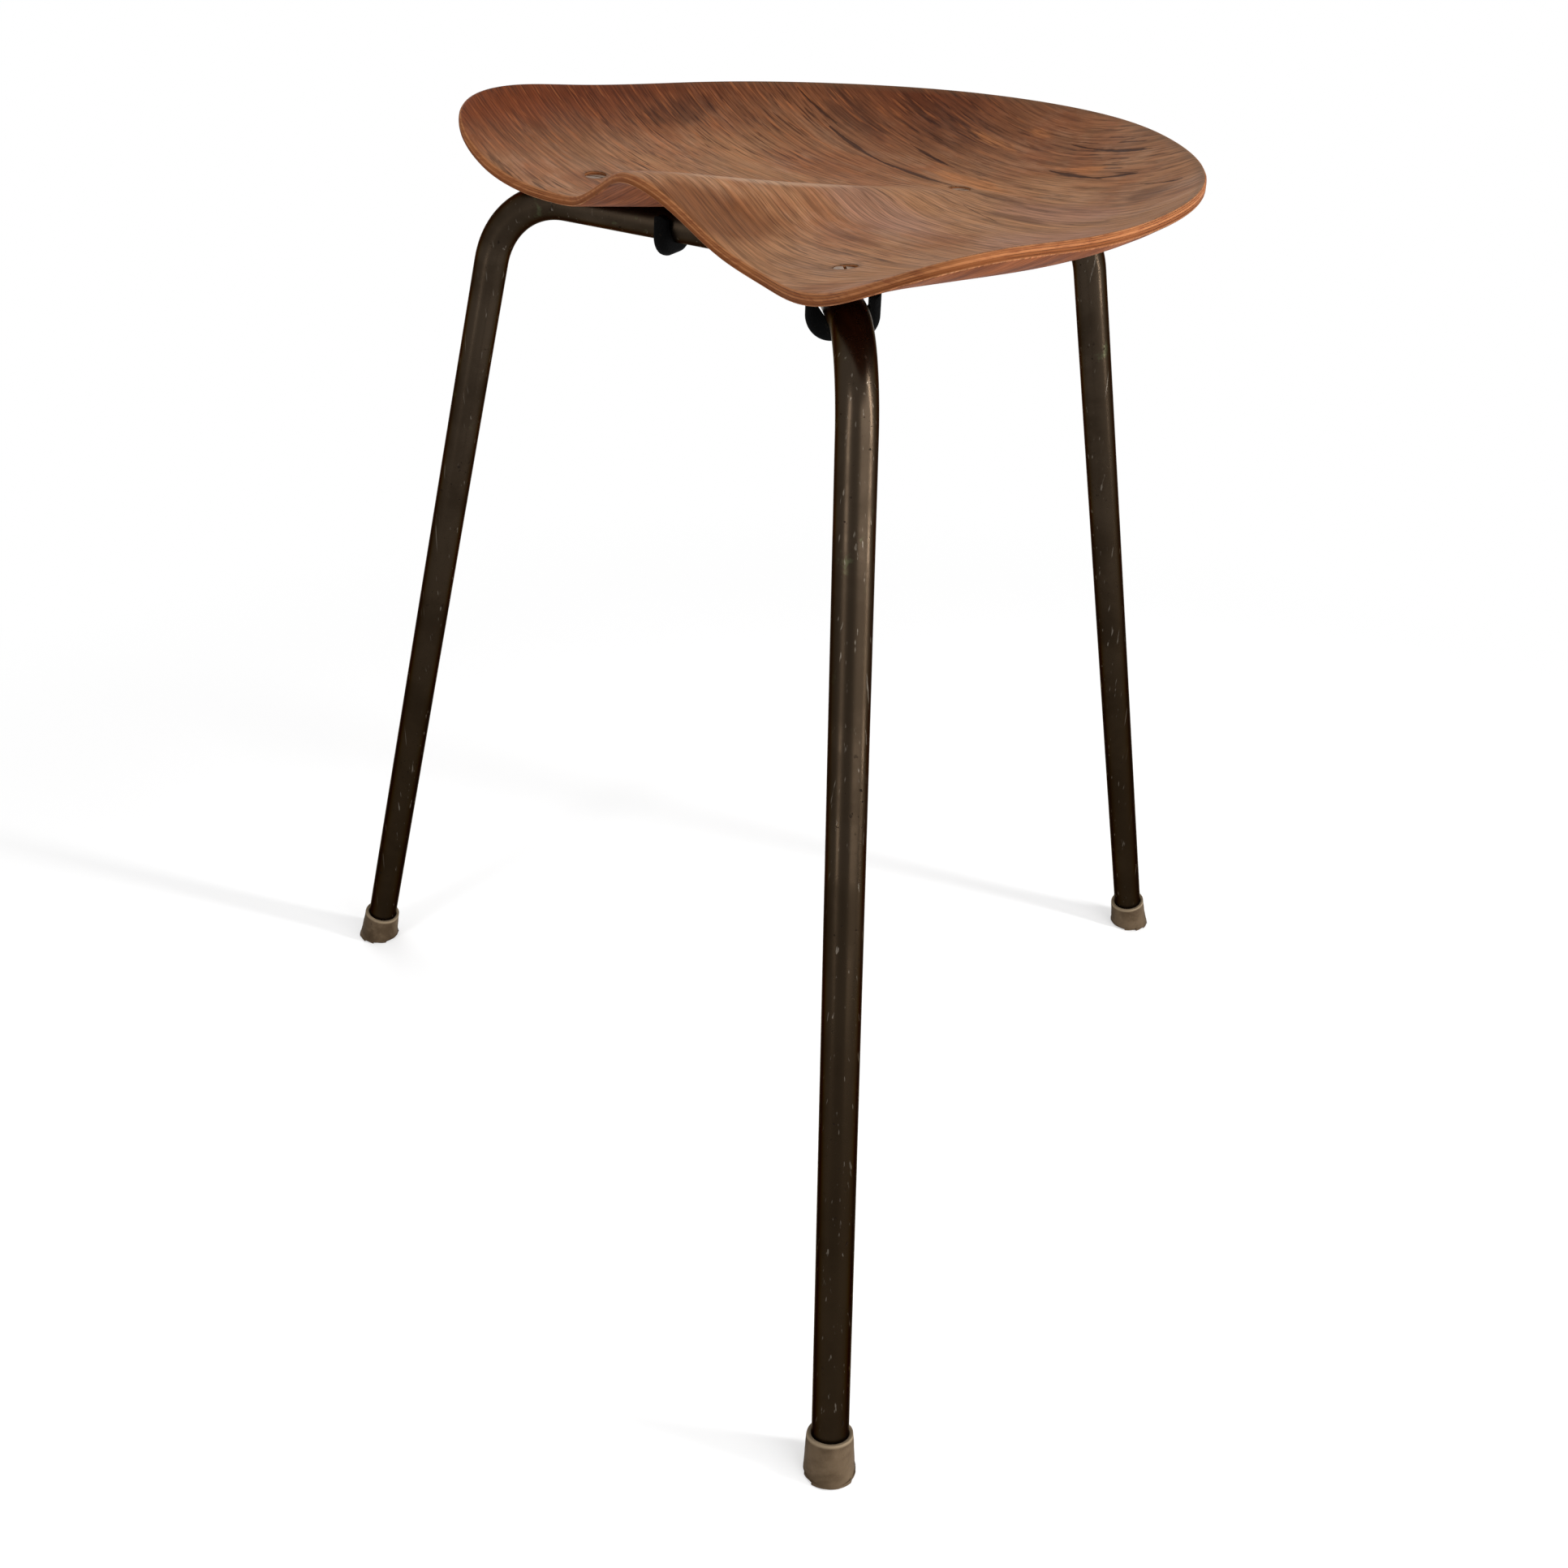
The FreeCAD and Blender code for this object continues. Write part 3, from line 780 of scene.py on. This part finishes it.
def make_seat():
    """The sheet: a ringed grid laid on the top face, extruded to the underside and rounded."""
    maker = bmesh.new()
    bmesh.ops.create_grid(maker, x_segments=grid_cells, y_segments=grid_cells, size=1.0)
    for point in maker.verts:
        u, v = point.co.xy
        on_disc = Vector((u * math.sqrt(1 - v * v / 2), v * math.sqrt(1 - u * u / 2), 0))
        point.co = on_disc * ring_shares[0]
    border = [edge for edge in maker.edges if edge.is_boundary]
    for share in ring_shares[1:]:
        grown = bmesh.ops.extrude_edge_only(maker, edges=border)["geom"]
        border = [item for item in grown if isinstance(item, bmesh.types.BMEdge) and item.is_boundary]
        for point in {point for edge in border for point in edge.verts}:
            point.co = point.co.normalized() * share
    bmesh.ops.recalc_face_normals(maker, faces=maker.faces)
    upper = maker.verts[:]
    grown = bmesh.ops.extrude_face_region(maker, geom=maker.faces[:])["geom"]
    lower = [item for item in grown if isinstance(item, bmesh.types.BMVert)]
    below = set(lower)
    wall = [face for face in maker.faces if 0 < sum(point in below for point in face.verts) < 4]
    low_counts = {edge: sum(point in below for point in edge.verts)
                  for face in wall for edge in face.edges}
    place_on_seat(upper, False)
    place_on_seat(lower, True)
    bmesh.ops.recalc_face_normals(maker, faces=maker.faces)
    for low_count, offset in ((0, upper_round), (2, lower_round)):
        rim = [edge for edge, count in low_counts.items() if count == low_count]
        rounded(maker, rim, offset, round_steps)
    upright = [edge for edge in maker.edges
               if abs(edge.verts[0].co.z - edge.verts[1].co.z) > seat_thickness / 4
               and (edge.verts[0].co - edge.verts[1].co).xy.length < seat_thickness / 20]
    bmesh.ops.subdivide_edges(maker, edges=upright, cuts=wall_cuts)
    maker.normal_update()
    return maker


def layers_of(points):
    """How deep each point lies in the seat: 0 at the top face and 1 at the underside."""
    local = np.array([point.co for point in points]) - np.array(hub)
    top = seat_top(local[:, 0], local[:, 1])
    bottom = seat_bottom(local[:, 0], local[:, 1])
    return np.clip((top - local[:, 2]) / (top - bottom), 0, 1)


def rim_shares_of(points):
    """How far out each point lies on the seat: 0 in the middle of the dish and 1 at the rim."""
    local = np.array([point.co for point in points]) - np.array(hub)
    angle = np.degrees(np.arctan2(local[:, 1] - dish_back, local[:, 0]))
    return np.hypot(local[:, 0], local[:, 1] - dish_back) / (reach_at(angle) * seat_half_width)


def wear_edge(maker):
    """Sinks the glue lines, knocks small dents into the rim and wears its crest down level."""
    depths = layers_of(maker.verts)
    for point, layer in zip(maker.verts, depths):
        point.co.z = min(point.co.z, cad_box[1].z)
        if not face_margin < layer < 1 - face_margin:
            continue
        outwards = Vector((point.normal.x, point.normal.y, 0))
        in_ply = abs((layer * ply_count) % 1 - 0.5)
        groove = groove_depth * max(0.0, (in_ply - groove_start) / (0.5 - groove_start))
        dent = dent_depth * max(0.0, noise.noise(point.co * dent_scale) - dent_start)
        nick = nick_depth * max(0.0, noise.noise(point.co * nick_scale))
        point.co -= outwards * (groove + dent + nick)


seat_maker = make_seat()
wear_edge(seat_maker)
seat = finish_piece("plywood_seat", seat_maker, plywood)
print("seat faces:", len(seat.data.polygons))

# %% [markdown]
# Each screw hole goes right through, with a countersink for the head. A drill's shape, turned
# from its profile, is subtracted. After the holes are cut, the attributes layer and rim are
# worked out for every point, so the plies show inside the countersinks too.

# %% Screw holes in the seat
screw_radius = 2.5 * mm
head_radius = 4.8 * mm
head_height = 2.7 * mm
head_sink = 0.8 * mm
hole_radius = screw_radius + 0.3 * mm
sink_radius = head_radius + 0.2 * mm
hole_segments = 40


def make_drill():
    """One mesh with the shape of all three countersunk holes."""
    depth = seat_thickness * 2
    profile = [(0, -depth), (hole_radius, -depth), (hole_radius, -head_height - head_sink),
               (sink_radius, -head_sink), (sink_radius, depth), (0, depth)]
    drill = bmesh.new()
    for turn, point in screw_places():
        absorb(drill, spun(profile, hole_segments, Matrix.Translation(point)))
    return as_mesh(drill, "drill")


cut_away(seat, make_drill())
carry(seat, "layer", layers_of(seat.data.vertices))
carry(seat, "rim", rim_shares_of(seat.data.vertices))
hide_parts("seat")
print("seat faces with holes:", len(seat.data.polygons))

# %% [markdown]
# The tubes have a dark brown patina that still gleams. Metal gets nearly all its look from what
# it reflects, so the colour is dark, the roughness changes in clouds, and pits and scratches
# break the long highlights. The patina is thinner and greyer on the upper half, and browner
# towards the feet. A grey specular tint keeps the tubes' grazing edges from turning white where
# they mirror the pale surround. Zinc, screw steel and rubber take the same masks in their own
# colours.

# %% Finishes for steel and rubber
def make_patina():
    material, tree, shader, place = new_material("steel_patina")
    age = use(tree, surface_age, Place=place, Scale=1.0)
    height_up = axes_of(tree, place)["Z"]
    base = mixed(tree, ranged(tree, height_up, 0.1, 0.42), tint(38, 29, 19), tint(54, 45, 36))
    base = laid_over(tree, base, age["Clouds"], 0.5, tint(26, 19, 12))
    verdigris = ranged(tree, cloud(tree, place, 90.0, 4.0, 0.7), 0.60, 0.72)
    base = laid_over(tree, base, verdigris, ranged(tree, height_up, 0.3, 0.4, 0.0, 0.35), tint(74, 80, 58))
    base = laid_over(tree, base, age["Specks"], 0.8, tint(26, 20, 16))
    base = laid_over(tree, base, age["Scratches"], 0.35, tint(130, 122, 112))
    rough = weighted(tree, (ranged(tree, age["Clouds"], 0.0, 1.0, 0.26, 0.38), 1.0), (age["Specks"], 0.3))
    height = weighted(tree, (age["Clouds"], 0.4), (age["Specks"], -1.0), (age["Scratches"], -0.4))
    shader.inputs["Metallic"].default_value = 1.0
    shader.inputs["Specular Tint"].default_value = tint(170, 162, 150)
    finish_shader(tree, shader, base, rough, height, 0.06 * mm)
    return material


def make_plain_steel(name, colour, dark, roughness):
    material, tree, shader, place = new_material(name)
    age = use(tree, surface_age, Place=place, Scale=2.0)
    base = laid_over(tree, colour, age["Clouds"], 0.6, dark)
    base = laid_over(tree, base, age["Specks"], 0.7, tint(40, 32, 26))
    rough = ranged(tree, age["Fine"], 0.3, 0.7, roughness - 0.06, roughness + 0.1)
    height = weighted(tree, (age["Fine"], 0.4), (age["Scratches"], -0.6))
    shader.inputs["Metallic"].default_value = 0.9
    finish_shader(tree, shader, base, rough, height, 0.04 * mm)
    return material


def make_rubber(name, colour, worn, roughness, wear):
    """Matt rubber. Where a piece has the attribute height_share, its lip is paler: partly worn, partly a
    painted highlight on its top.
    """
    material, tree, shader, place = new_material(name)
    age = use(tree, surface_age, Place=place, Scale=1.6)
    base = laid_over(tree, colour, age["Clouds"], wear, worn)
    base = laid_over(tree, base, age["Specks"], 0.6, tint(30, 24, 18))
    dust = ranged(tree, cloud(tree, place, 160.0, 4.0, 0.7), 0.5, 0.75)
    base = laid_over(tree, base, dust, wear * 0.7, worn)
    # The lip is painted paler, partly wear and partly a painted highlight as if lit from above.
    lip = ranged(tree, attribute(tree, "height_share"), 0.90, 0.97)
    base = laid_over(tree, base, lip, 0.55, tint(140, 124, 102))
    rough = ranged(tree, age["Fine"], 0.3, 0.7, roughness - 0.08, roughness + 0.08)
    height = weighted(tree, (age["Fine"], 1.0), (age["Specks"], -0.8))
    shader.inputs["Specular IOR Level"].default_value = 0.03
    finish_shader(tree, shader, base, rough, height, 0.08 * mm)
    return material


patina = make_patina()
zinc = make_plain_steel("zinc_plate", tint(170, 170, 172), tint(120, 120, 118), 0.35)
screw_steel = make_plain_steel("dark_screw_steel", tint(138, 112, 90), tint(78, 58, 44), 0.45)
foot_rubber = make_rubber("foot_rubber", tint(58, 46, 33), tint(94, 79, 62), 0.62, 0.6)
black_rubber = make_rubber("black_rubber", tint(3, 3, 3), tint(10, 9, 8), 0.7, 0.2)
print("finishes:", patina.name, zinc.name, screw_steel.name, foot_rubber.name, black_rubber.name)

# %% [markdown]
# A leg is one bent tube. Its section is a flat ring, made by bridging two circles, and the whole
# ring is extruded up the leg, spun round the bend, and extruded again along the arm, so the
# wall keeps its thickness all the way. The three arms meet at the hub as mitres: two cuts in
# upright planes leave each tube its third of the circle.

# %% Legs
ferrule_floor = 4.6 * mm
disc_thickness = 1.0 * mm
tube_segments = 56
bend_steps = 28
bush_radius = 4 * mm
mitre_turn = 60
foot_point = Vector((foot_reach, 0, 0))
corner_point = Vector((corner_reach, 0, arm_height))
hub_point = Vector((0, 0, hub_height))
leg_axis = (corner_point - foot_point).normalized()
arm_axis = (corner_point - hub_point).normalized()
half_turn = leg_axis.angle(-arm_axis) / 2
setback = bend_radius * math.tan(half_turn)


def across(axis, place):
    """The move that lays a flat shape across an axis at a place."""
    return Matrix.Translation(place) @ axis.to_track_quat("Z", "Y").to_matrix().to_4x4()


def end_faces(geometry):
    return [item for item in geometry if isinstance(item, bmesh.types.BMFace)]


def points_of(faces):
    return list(dict.fromkeys(point for face in faces for point in face.verts))


def make_tube():
    """A leg and its arm in the plane Y = 0, with the hub's axis at the origin."""
    maker = bmesh.new()
    start = foot_point + leg_axis * (ferrule_floor + disc_thickness)
    bend_start = corner_point - leg_axis * setback
    section = across(leg_axis, start)
    rings = []
    for radius in (tube_radius, tube_radius - tube_wall):
        made = bmesh.ops.create_circle(maker, segments=tube_segments, radius=radius, matrix=section)
        rings += dict.fromkeys(edge for point in made["verts"] for edge in point.link_edges)
    ring = bmesh.ops.bridge_loops(maker, edges=rings)["faces"]
    leg_end = end_faces(bmesh.ops.extrude_face_region(maker, geom=ring)["geom"])
    bmesh.ops.translate(maker, verts=points_of(leg_end), vec=bend_start - start)
    inwards = (-leg_axis - arm_axis).normalized()
    centre = corner_point + inwards * (bend_radius / math.cos(half_turn))
    bent = bmesh.ops.spin(maker, geom=leg_end, cent=centre, axis=leg_axis.cross(-arm_axis).normalized(),
                          angle=2 * half_turn, steps=bend_steps, use_duplicate=False)
    arm_end = end_faces(bmesh.ops.extrude_face_region(maker, geom=end_faces(bent["geom_last"]))["geom"])
    bend_end = corner_point - arm_axis * setback
    past_hub = hub_point - arm_axis * tube_radius * 2
    bmesh.ops.translate(maker, verts=points_of(arm_end), vec=past_hub - bend_end)
    mitre = math.radians(mitre_turn)
    for side in (-1, 1):
        outside = Vector((-math.sin(mitre), side * math.cos(mitre), 0))
        sliced(maker, outside)
        open_edges = [edge for edge in maker.edges if edge.is_boundary]
        bmesh.ops.triangle_fill(maker, edges=open_edges, use_beauty=True, normal=outside)
    bmesh.ops.recalc_face_normals(maker, faces=maker.faces)
    return maker


def drill_for_bush(leg, point):
    """The hole in the arm's top wall that holds the screw's bush."""
    hole = bmesh.new()
    middle = Matrix.Translation((point.x, point.y, arm_height + tube_radius))
    bmesh.ops.create_cone(hole, cap_ends=True, segments=hole_segments, radius1=bush_radius,
                          radius2=bush_radius, depth=tube_radius * 2, matrix=middle)
    cut_away(leg, as_mesh(hole, "bush_hole"))


for name, (turn, point) in zip(leg_turns, screw_places()):
    tube = make_tube()
    bmesh.ops.transform(tube, matrix=about_hub(turn), verts=tube.verts)
    leg = finish_piece(name.replace("_leg", "_tube"), tube, patina)
    drill_for_bush(leg, point)
    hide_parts(name)
    print(leg.name, "faces", len(leg.data.polygons))

# %% [markdown]
# Where the arms meet they are brazed. The seam between two mitred tubes is half an ellipse in an
# upright plane, so each bead is a small circle spun through a half turn and then stretched
# sideways. A little noise makes it look run by hand.

# %% Braze beads
bead_radius = 1.5 * mm
bead_steps = 40
bead_sides = 14
lump_scale, lump_share = 600, 0.2


def make_beads():
    """The three seams of braze in one bmesh."""
    joined = bmesh.new()
    for turn in leg_turns.values():
        bead = bmesh.new()
        section = Matrix.Translation((0, 0, tube_radius)) @ Matrix.Rotation(math.pi / 2, 4, "Y")
        bmesh.ops.create_circle(bead, cap_ends=True, segments=bead_sides, radius=bead_radius, matrix=section)
        bmesh.ops.spin(bead, geom=bead.faces[:], cent=(0, 0, 0), axis=(0, 1, 0), angle=math.pi,
                       steps=bead_steps, use_duplicate=False)
        bmesh.ops.scale(bead, vec=(1 / math.sin(math.radians(mitre_turn)), 1, 1), verts=bead.verts)
        for point in bead.verts:
            lump = noise.noise(point.co * lump_scale + Vector((turn, 0, 0)))
            point.co += point.normal * lump * bead_radius * lump_share
        bmesh.ops.recalc_face_normals(bead, faces=bead.faces)
        move = about_hub(turn + mitre_turn) @ Matrix.Translation((0, 0, hub_height))
        bmesh.ops.transform(bead, matrix=move, verts=bead.verts)
        absorb(joined, bead)
    return joined


beads = finish_piece("hub_braze", make_beads(), patina)
print("bead faces:", len(beads.data.polygons))

# %% [markdown]
# The seat screws are countersunk and slotted. The whole screw is turned from one profile, with
# the head's edge broken, and its slot is cut with a thin box that lies along the arm.

# %% Screws
slot_width = 1.2 * mm
slot_depth = 1.1 * mm
screw_length = 16 * mm
head_edge = 0.25 * mm
head_edge_drop = 0.4 * mm
head_crown = 0.1 * mm


def make_screws():
    """The three screws in one bmesh, and the mesh that cuts their slots."""
    screws = bmesh.new()
    slots = bmesh.new()
    profile = [(0, -screw_length), (screw_radius - head_edge, -screw_length),
               (screw_radius, -screw_length + head_edge), (screw_radius, -head_height),
               (head_radius - head_edge, -head_edge_drop), (head_radius, -head_edge),
               (head_radius - head_edge, 0), (0, head_crown)]
    for turn, point in screw_places():
        top = Matrix.Translation(point - Vector((0, 0, head_sink)))
        absorb(screws, spun(profile, hole_segments, top))
        sizes = Matrix.Diagonal((head_radius * 4, slot_width, slot_depth * 2, 1))
        turned = top @ Matrix.Rotation(math.radians(turn), 4, "Z")
        bmesh.ops.create_cube(slots, size=1.0, matrix=turned @ sizes)
    return screws, as_mesh(slots, "slots")


screw_maker, slot_mesh = make_screws()
screws = finish_piece("slotted_screws", screw_maker, screw_steel)
cut_away(screws, slot_mesh)
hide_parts("seat_screws")
print("screw faces:", len(screws.data.polygons))

# %% [markdown]
# The ferrules are soft rubber cups that have spread under the stool's weight. Each is turned
# about its leg's axis from a profile with a thin lip, a wall that flares, and a socket down to
# the floor of the cup. The leg leans, so the cup is cut level at the ground, its foot edge is
# rounded with a bevel, and noise dents it, a little differently on each foot.

# %% Ferrules
ferrule_height = 18.5 * mm
ferrule_top_radius = 10.3 * mm
ferrule_foot_radius = 11.3 * mm
socket_radius = tube_radius + 0.05 * mm
foot_round = 1.8 * mm
foot_round_steps = 5
ferrule_segments = 96
wall_rings = 22
lip_height = 1.2 * mm
lip_outer_steps = ((0.1, 0.5), (0.5, 0.1), (1.1, 0.0))
lip_inner_steps = ((0.3, 0.3), (0.0, 0.9))
dent_guard = 0.4 * mm
ferrule_dent = 0.45 * mm
ferrule_dent_scale, ferrule_nick_scale, ferrule_nick_share = 75, 260, 0.3
dent_offset = 0.6
seed_step = 7.3


def make_ferrule(seed):
    """A ferrule in the plane of its leg. The lip's steps are distances in and down, in mm."""
    below = ferrule_foot_radius
    slope = (ferrule_foot_radius - ferrule_top_radius) / ferrule_height
    wall = [(ferrule_foot_radius - slope * height, height)
            for height in np.linspace(-below, ferrule_height - lip_height, wall_rings)]
    lip = [(ferrule_top_radius - gap * mm, ferrule_height - drop * mm) for gap, drop in lip_outer_steps]
    lip += [(socket_radius + gap * mm, ferrule_height - drop * mm) for gap, drop in lip_inner_steps]
    cup = [(0, -below), *wall, *lip, (socket_radius, ferrule_floor), (0, ferrule_floor)]
    maker = spun(cup, ferrule_segments, across(leg_axis, foot_point))
    rim = sliced(maker, (0, 0, -1))
    bmesh.ops.holes_fill(maker, edges=rim, sides=0)
    bmesh.ops.recalc_face_normals(maker, faces=maker.faces)
    rounded(maker, [edge for edge in rim if edge.is_valid], foot_round, foot_round_steps)
    maker.normal_update()
    for point in maker.verts:
        from_axis = (point.co - foot_point).cross(leg_axis).length
        if from_axis < ferrule_top_radius - dent_guard or point.co.z < foot_round / 2:
            continue
        lump = noise.noise(point.co * ferrule_dent_scale + Vector((seed, 0, 0)))
        lump += ferrule_nick_share * noise.noise(point.co * ferrule_nick_scale)
        outwards = Vector((point.normal.x, point.normal.y, 0))
        point.co += outwards * (lump - dent_offset) * ferrule_dent
    return maker


for seed, (name, turn) in enumerate(leg_turns.items()):
    cup = make_ferrule(seed * seed_step)
    bmesh.ops.transform(cup, matrix=about_hub(turn), verts=cup.verts)
    ferrule = finish_piece(name.replace("_leg", "_ferrule"), cup, foot_rubber)
    back = about_hub(turn).inverted()
    carry(ferrule, "height_share", [(back @ point.co - foot_point).dot(leg_axis) / ferrule_height
                                    for point in ferrule.data.vertices])
    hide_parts(name.replace("_leg", "_foot"))
    print(ferrule.name, "faces", len(ferrule.data.polygons))

# %% [markdown]
# The rest of the construction model is already the right shape: the hub plate, the clips that
# are pushed onto the arms, the spacers under the screws, and the bushes and discs inside the
# tubes. These nodes only change their material.

# %% Finishes on the construction model's own nodes
node_finishes = {
    "hub_plate": patina, "screw_bushes": zinc, "foot_discs": zinc, "front_spacers": black_rubber,
    "rear_spacer": black_rubber, "front_left_clip": black_rubber, "front_right_clip": black_rubber,
    "rear_clip": black_rubber,
}
for name, finish in node_finishes.items():
    mesh = nodes[name].data
    mesh.materials.clear()
    mesh.materials.append(finish)
print("dressed nodes:", len(node_finishes))

# %% [markdown]
# The studio is a pale floor, a white surround and soft lamps. The surround lights the stool
# gently from all sides. Only the camera, and gloss that mirrors the surround, see it as full
# white, so the picture gets a white background without more light on the stool. The floor
# turns into the same white away from the stool, and keeps the soft shadow near the feet. The
# window lamp lights the seat from the left. Two narrow strips draw long highlights down the
# tubes, and the box on the right lights the seat's edge and the right sides of the tubes.

# %% Stage and light
ambient = 0.45
shadow_strength = 0.6
floor_size = 14.0
shade_start, shade_end = 0.42, 0.85


def sees_backdrop(tree):
    """1 for camera rays, and for rays mirrored or let through by the stool."""
    rays = put(tree, "ShaderNodeLightPath").outputs
    seen = calc(tree, "MAXIMUM", rays["Is Camera Ray"], rays["Is Glossy Ray"])
    return calc(tree, "MAXIMUM", seen, rays["Is Transmission Ray"])


def make_floor_material():
    material, tree, shader, place = new_material("studio_floor")
    shader.inputs["Base Color"].default_value = (0.96, 0.96, 0.96, 1)
    shader.inputs["Roughness"].default_value = 0.9
    shader.inputs["Specular IOR Level"].default_value = 0.0
    white = put(tree, "ShaderNodeEmission", {"Color": (1, 1, 1, 1), "Strength": 1.0})
    away = vector_calc(tree, "LENGTH", place)
    fade = ranged(tree, away, shade_start, shade_end, 1 - shadow_strength, 1.0)
    blend = put(tree, "ShaderNodeMixShader", {"Fac": calc(tree, "MULTIPLY", fade, sees_backdrop(tree))})
    tree.links.new(shader.outputs["BSDF"], blend.inputs[1])
    tree.links.new(white.outputs["Emission"], blend.inputs[2])
    tree.links.new(blend.outputs["Shader"], tree.nodes["Material Output"].inputs["Surface"])
    return material


floor_maker = bmesh.new()
bmesh.ops.create_grid(floor_maker, x_segments=1, y_segments=1, size=floor_size / 2)
floor = new_object("floor", as_mesh(floor_maker, "floor"))
floor.data.materials.append(make_floor_material())
floor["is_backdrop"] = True

world = bpy.data.worlds.new("studio")
bpy.context.scene.world = world
world.use_nodes = True
sky = world.node_tree
backdrop = sky.nodes["Background"]
backdrop.inputs["Color"].default_value = (1, 1, 1, 1)
strength = calc(sky, "ADD", ambient, calc(sky, "MULTIPLY", sees_backdrop(sky), 1 - ambient))
feed(sky, backdrop.inputs["Strength"], strength)


def add_lamp(name, place, target, size, power):
    """A soft rectangular lamp that faces a point."""
    data = bpy.data.lights.new(name, "AREA")
    data.shape = "RECTANGLE"
    data.size, data.size_y = size
    data.energy = power
    lamp = new_object(name, data)
    aim = (Vector(target) - Vector(place)).to_track_quat("-Z", "Y")
    lamp.matrix_world = Matrix.Translation(place) @ aim.to_matrix().to_4x4()


# A lamp's name, its place, the point it faces, its width and height, and its power in watts.
add_lamp("window", (-1.5, 0.0, 1.7), (0, 0, 0.4), (1.2, 1.4), 12)
add_lamp("overhead", (0.2, -0.2, 2.4), (0, 0, 0.3), (1.6, 1.6), 3)
add_lamp("right_strip", (1.0, 0.68, 0.65), (0.15, -0.15, 0.35), (0.10, 1.3), 19)
add_lamp("left_strip", (0.33, -1.38, 0.6), (0.15, -0.15, 0.35), (0.26, 1.2), 8)
add_lamp("right_box", (1.32, -0.02, 0.6), (0.2, -0.2, 0.35), (1.0, 1.2), 13)

# %% [markdown]
# The dressed stool has to be as large as its construction model. Both boxes are printed.

# %% Boxes of the construction model and the dressed stool
visual_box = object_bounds()
for name, before, after in zip(("low", "high"), cad_box, visual_box):
    print(name, [round(value / mm, 2) for value in before], [round(value / mm, 2) for value in after])
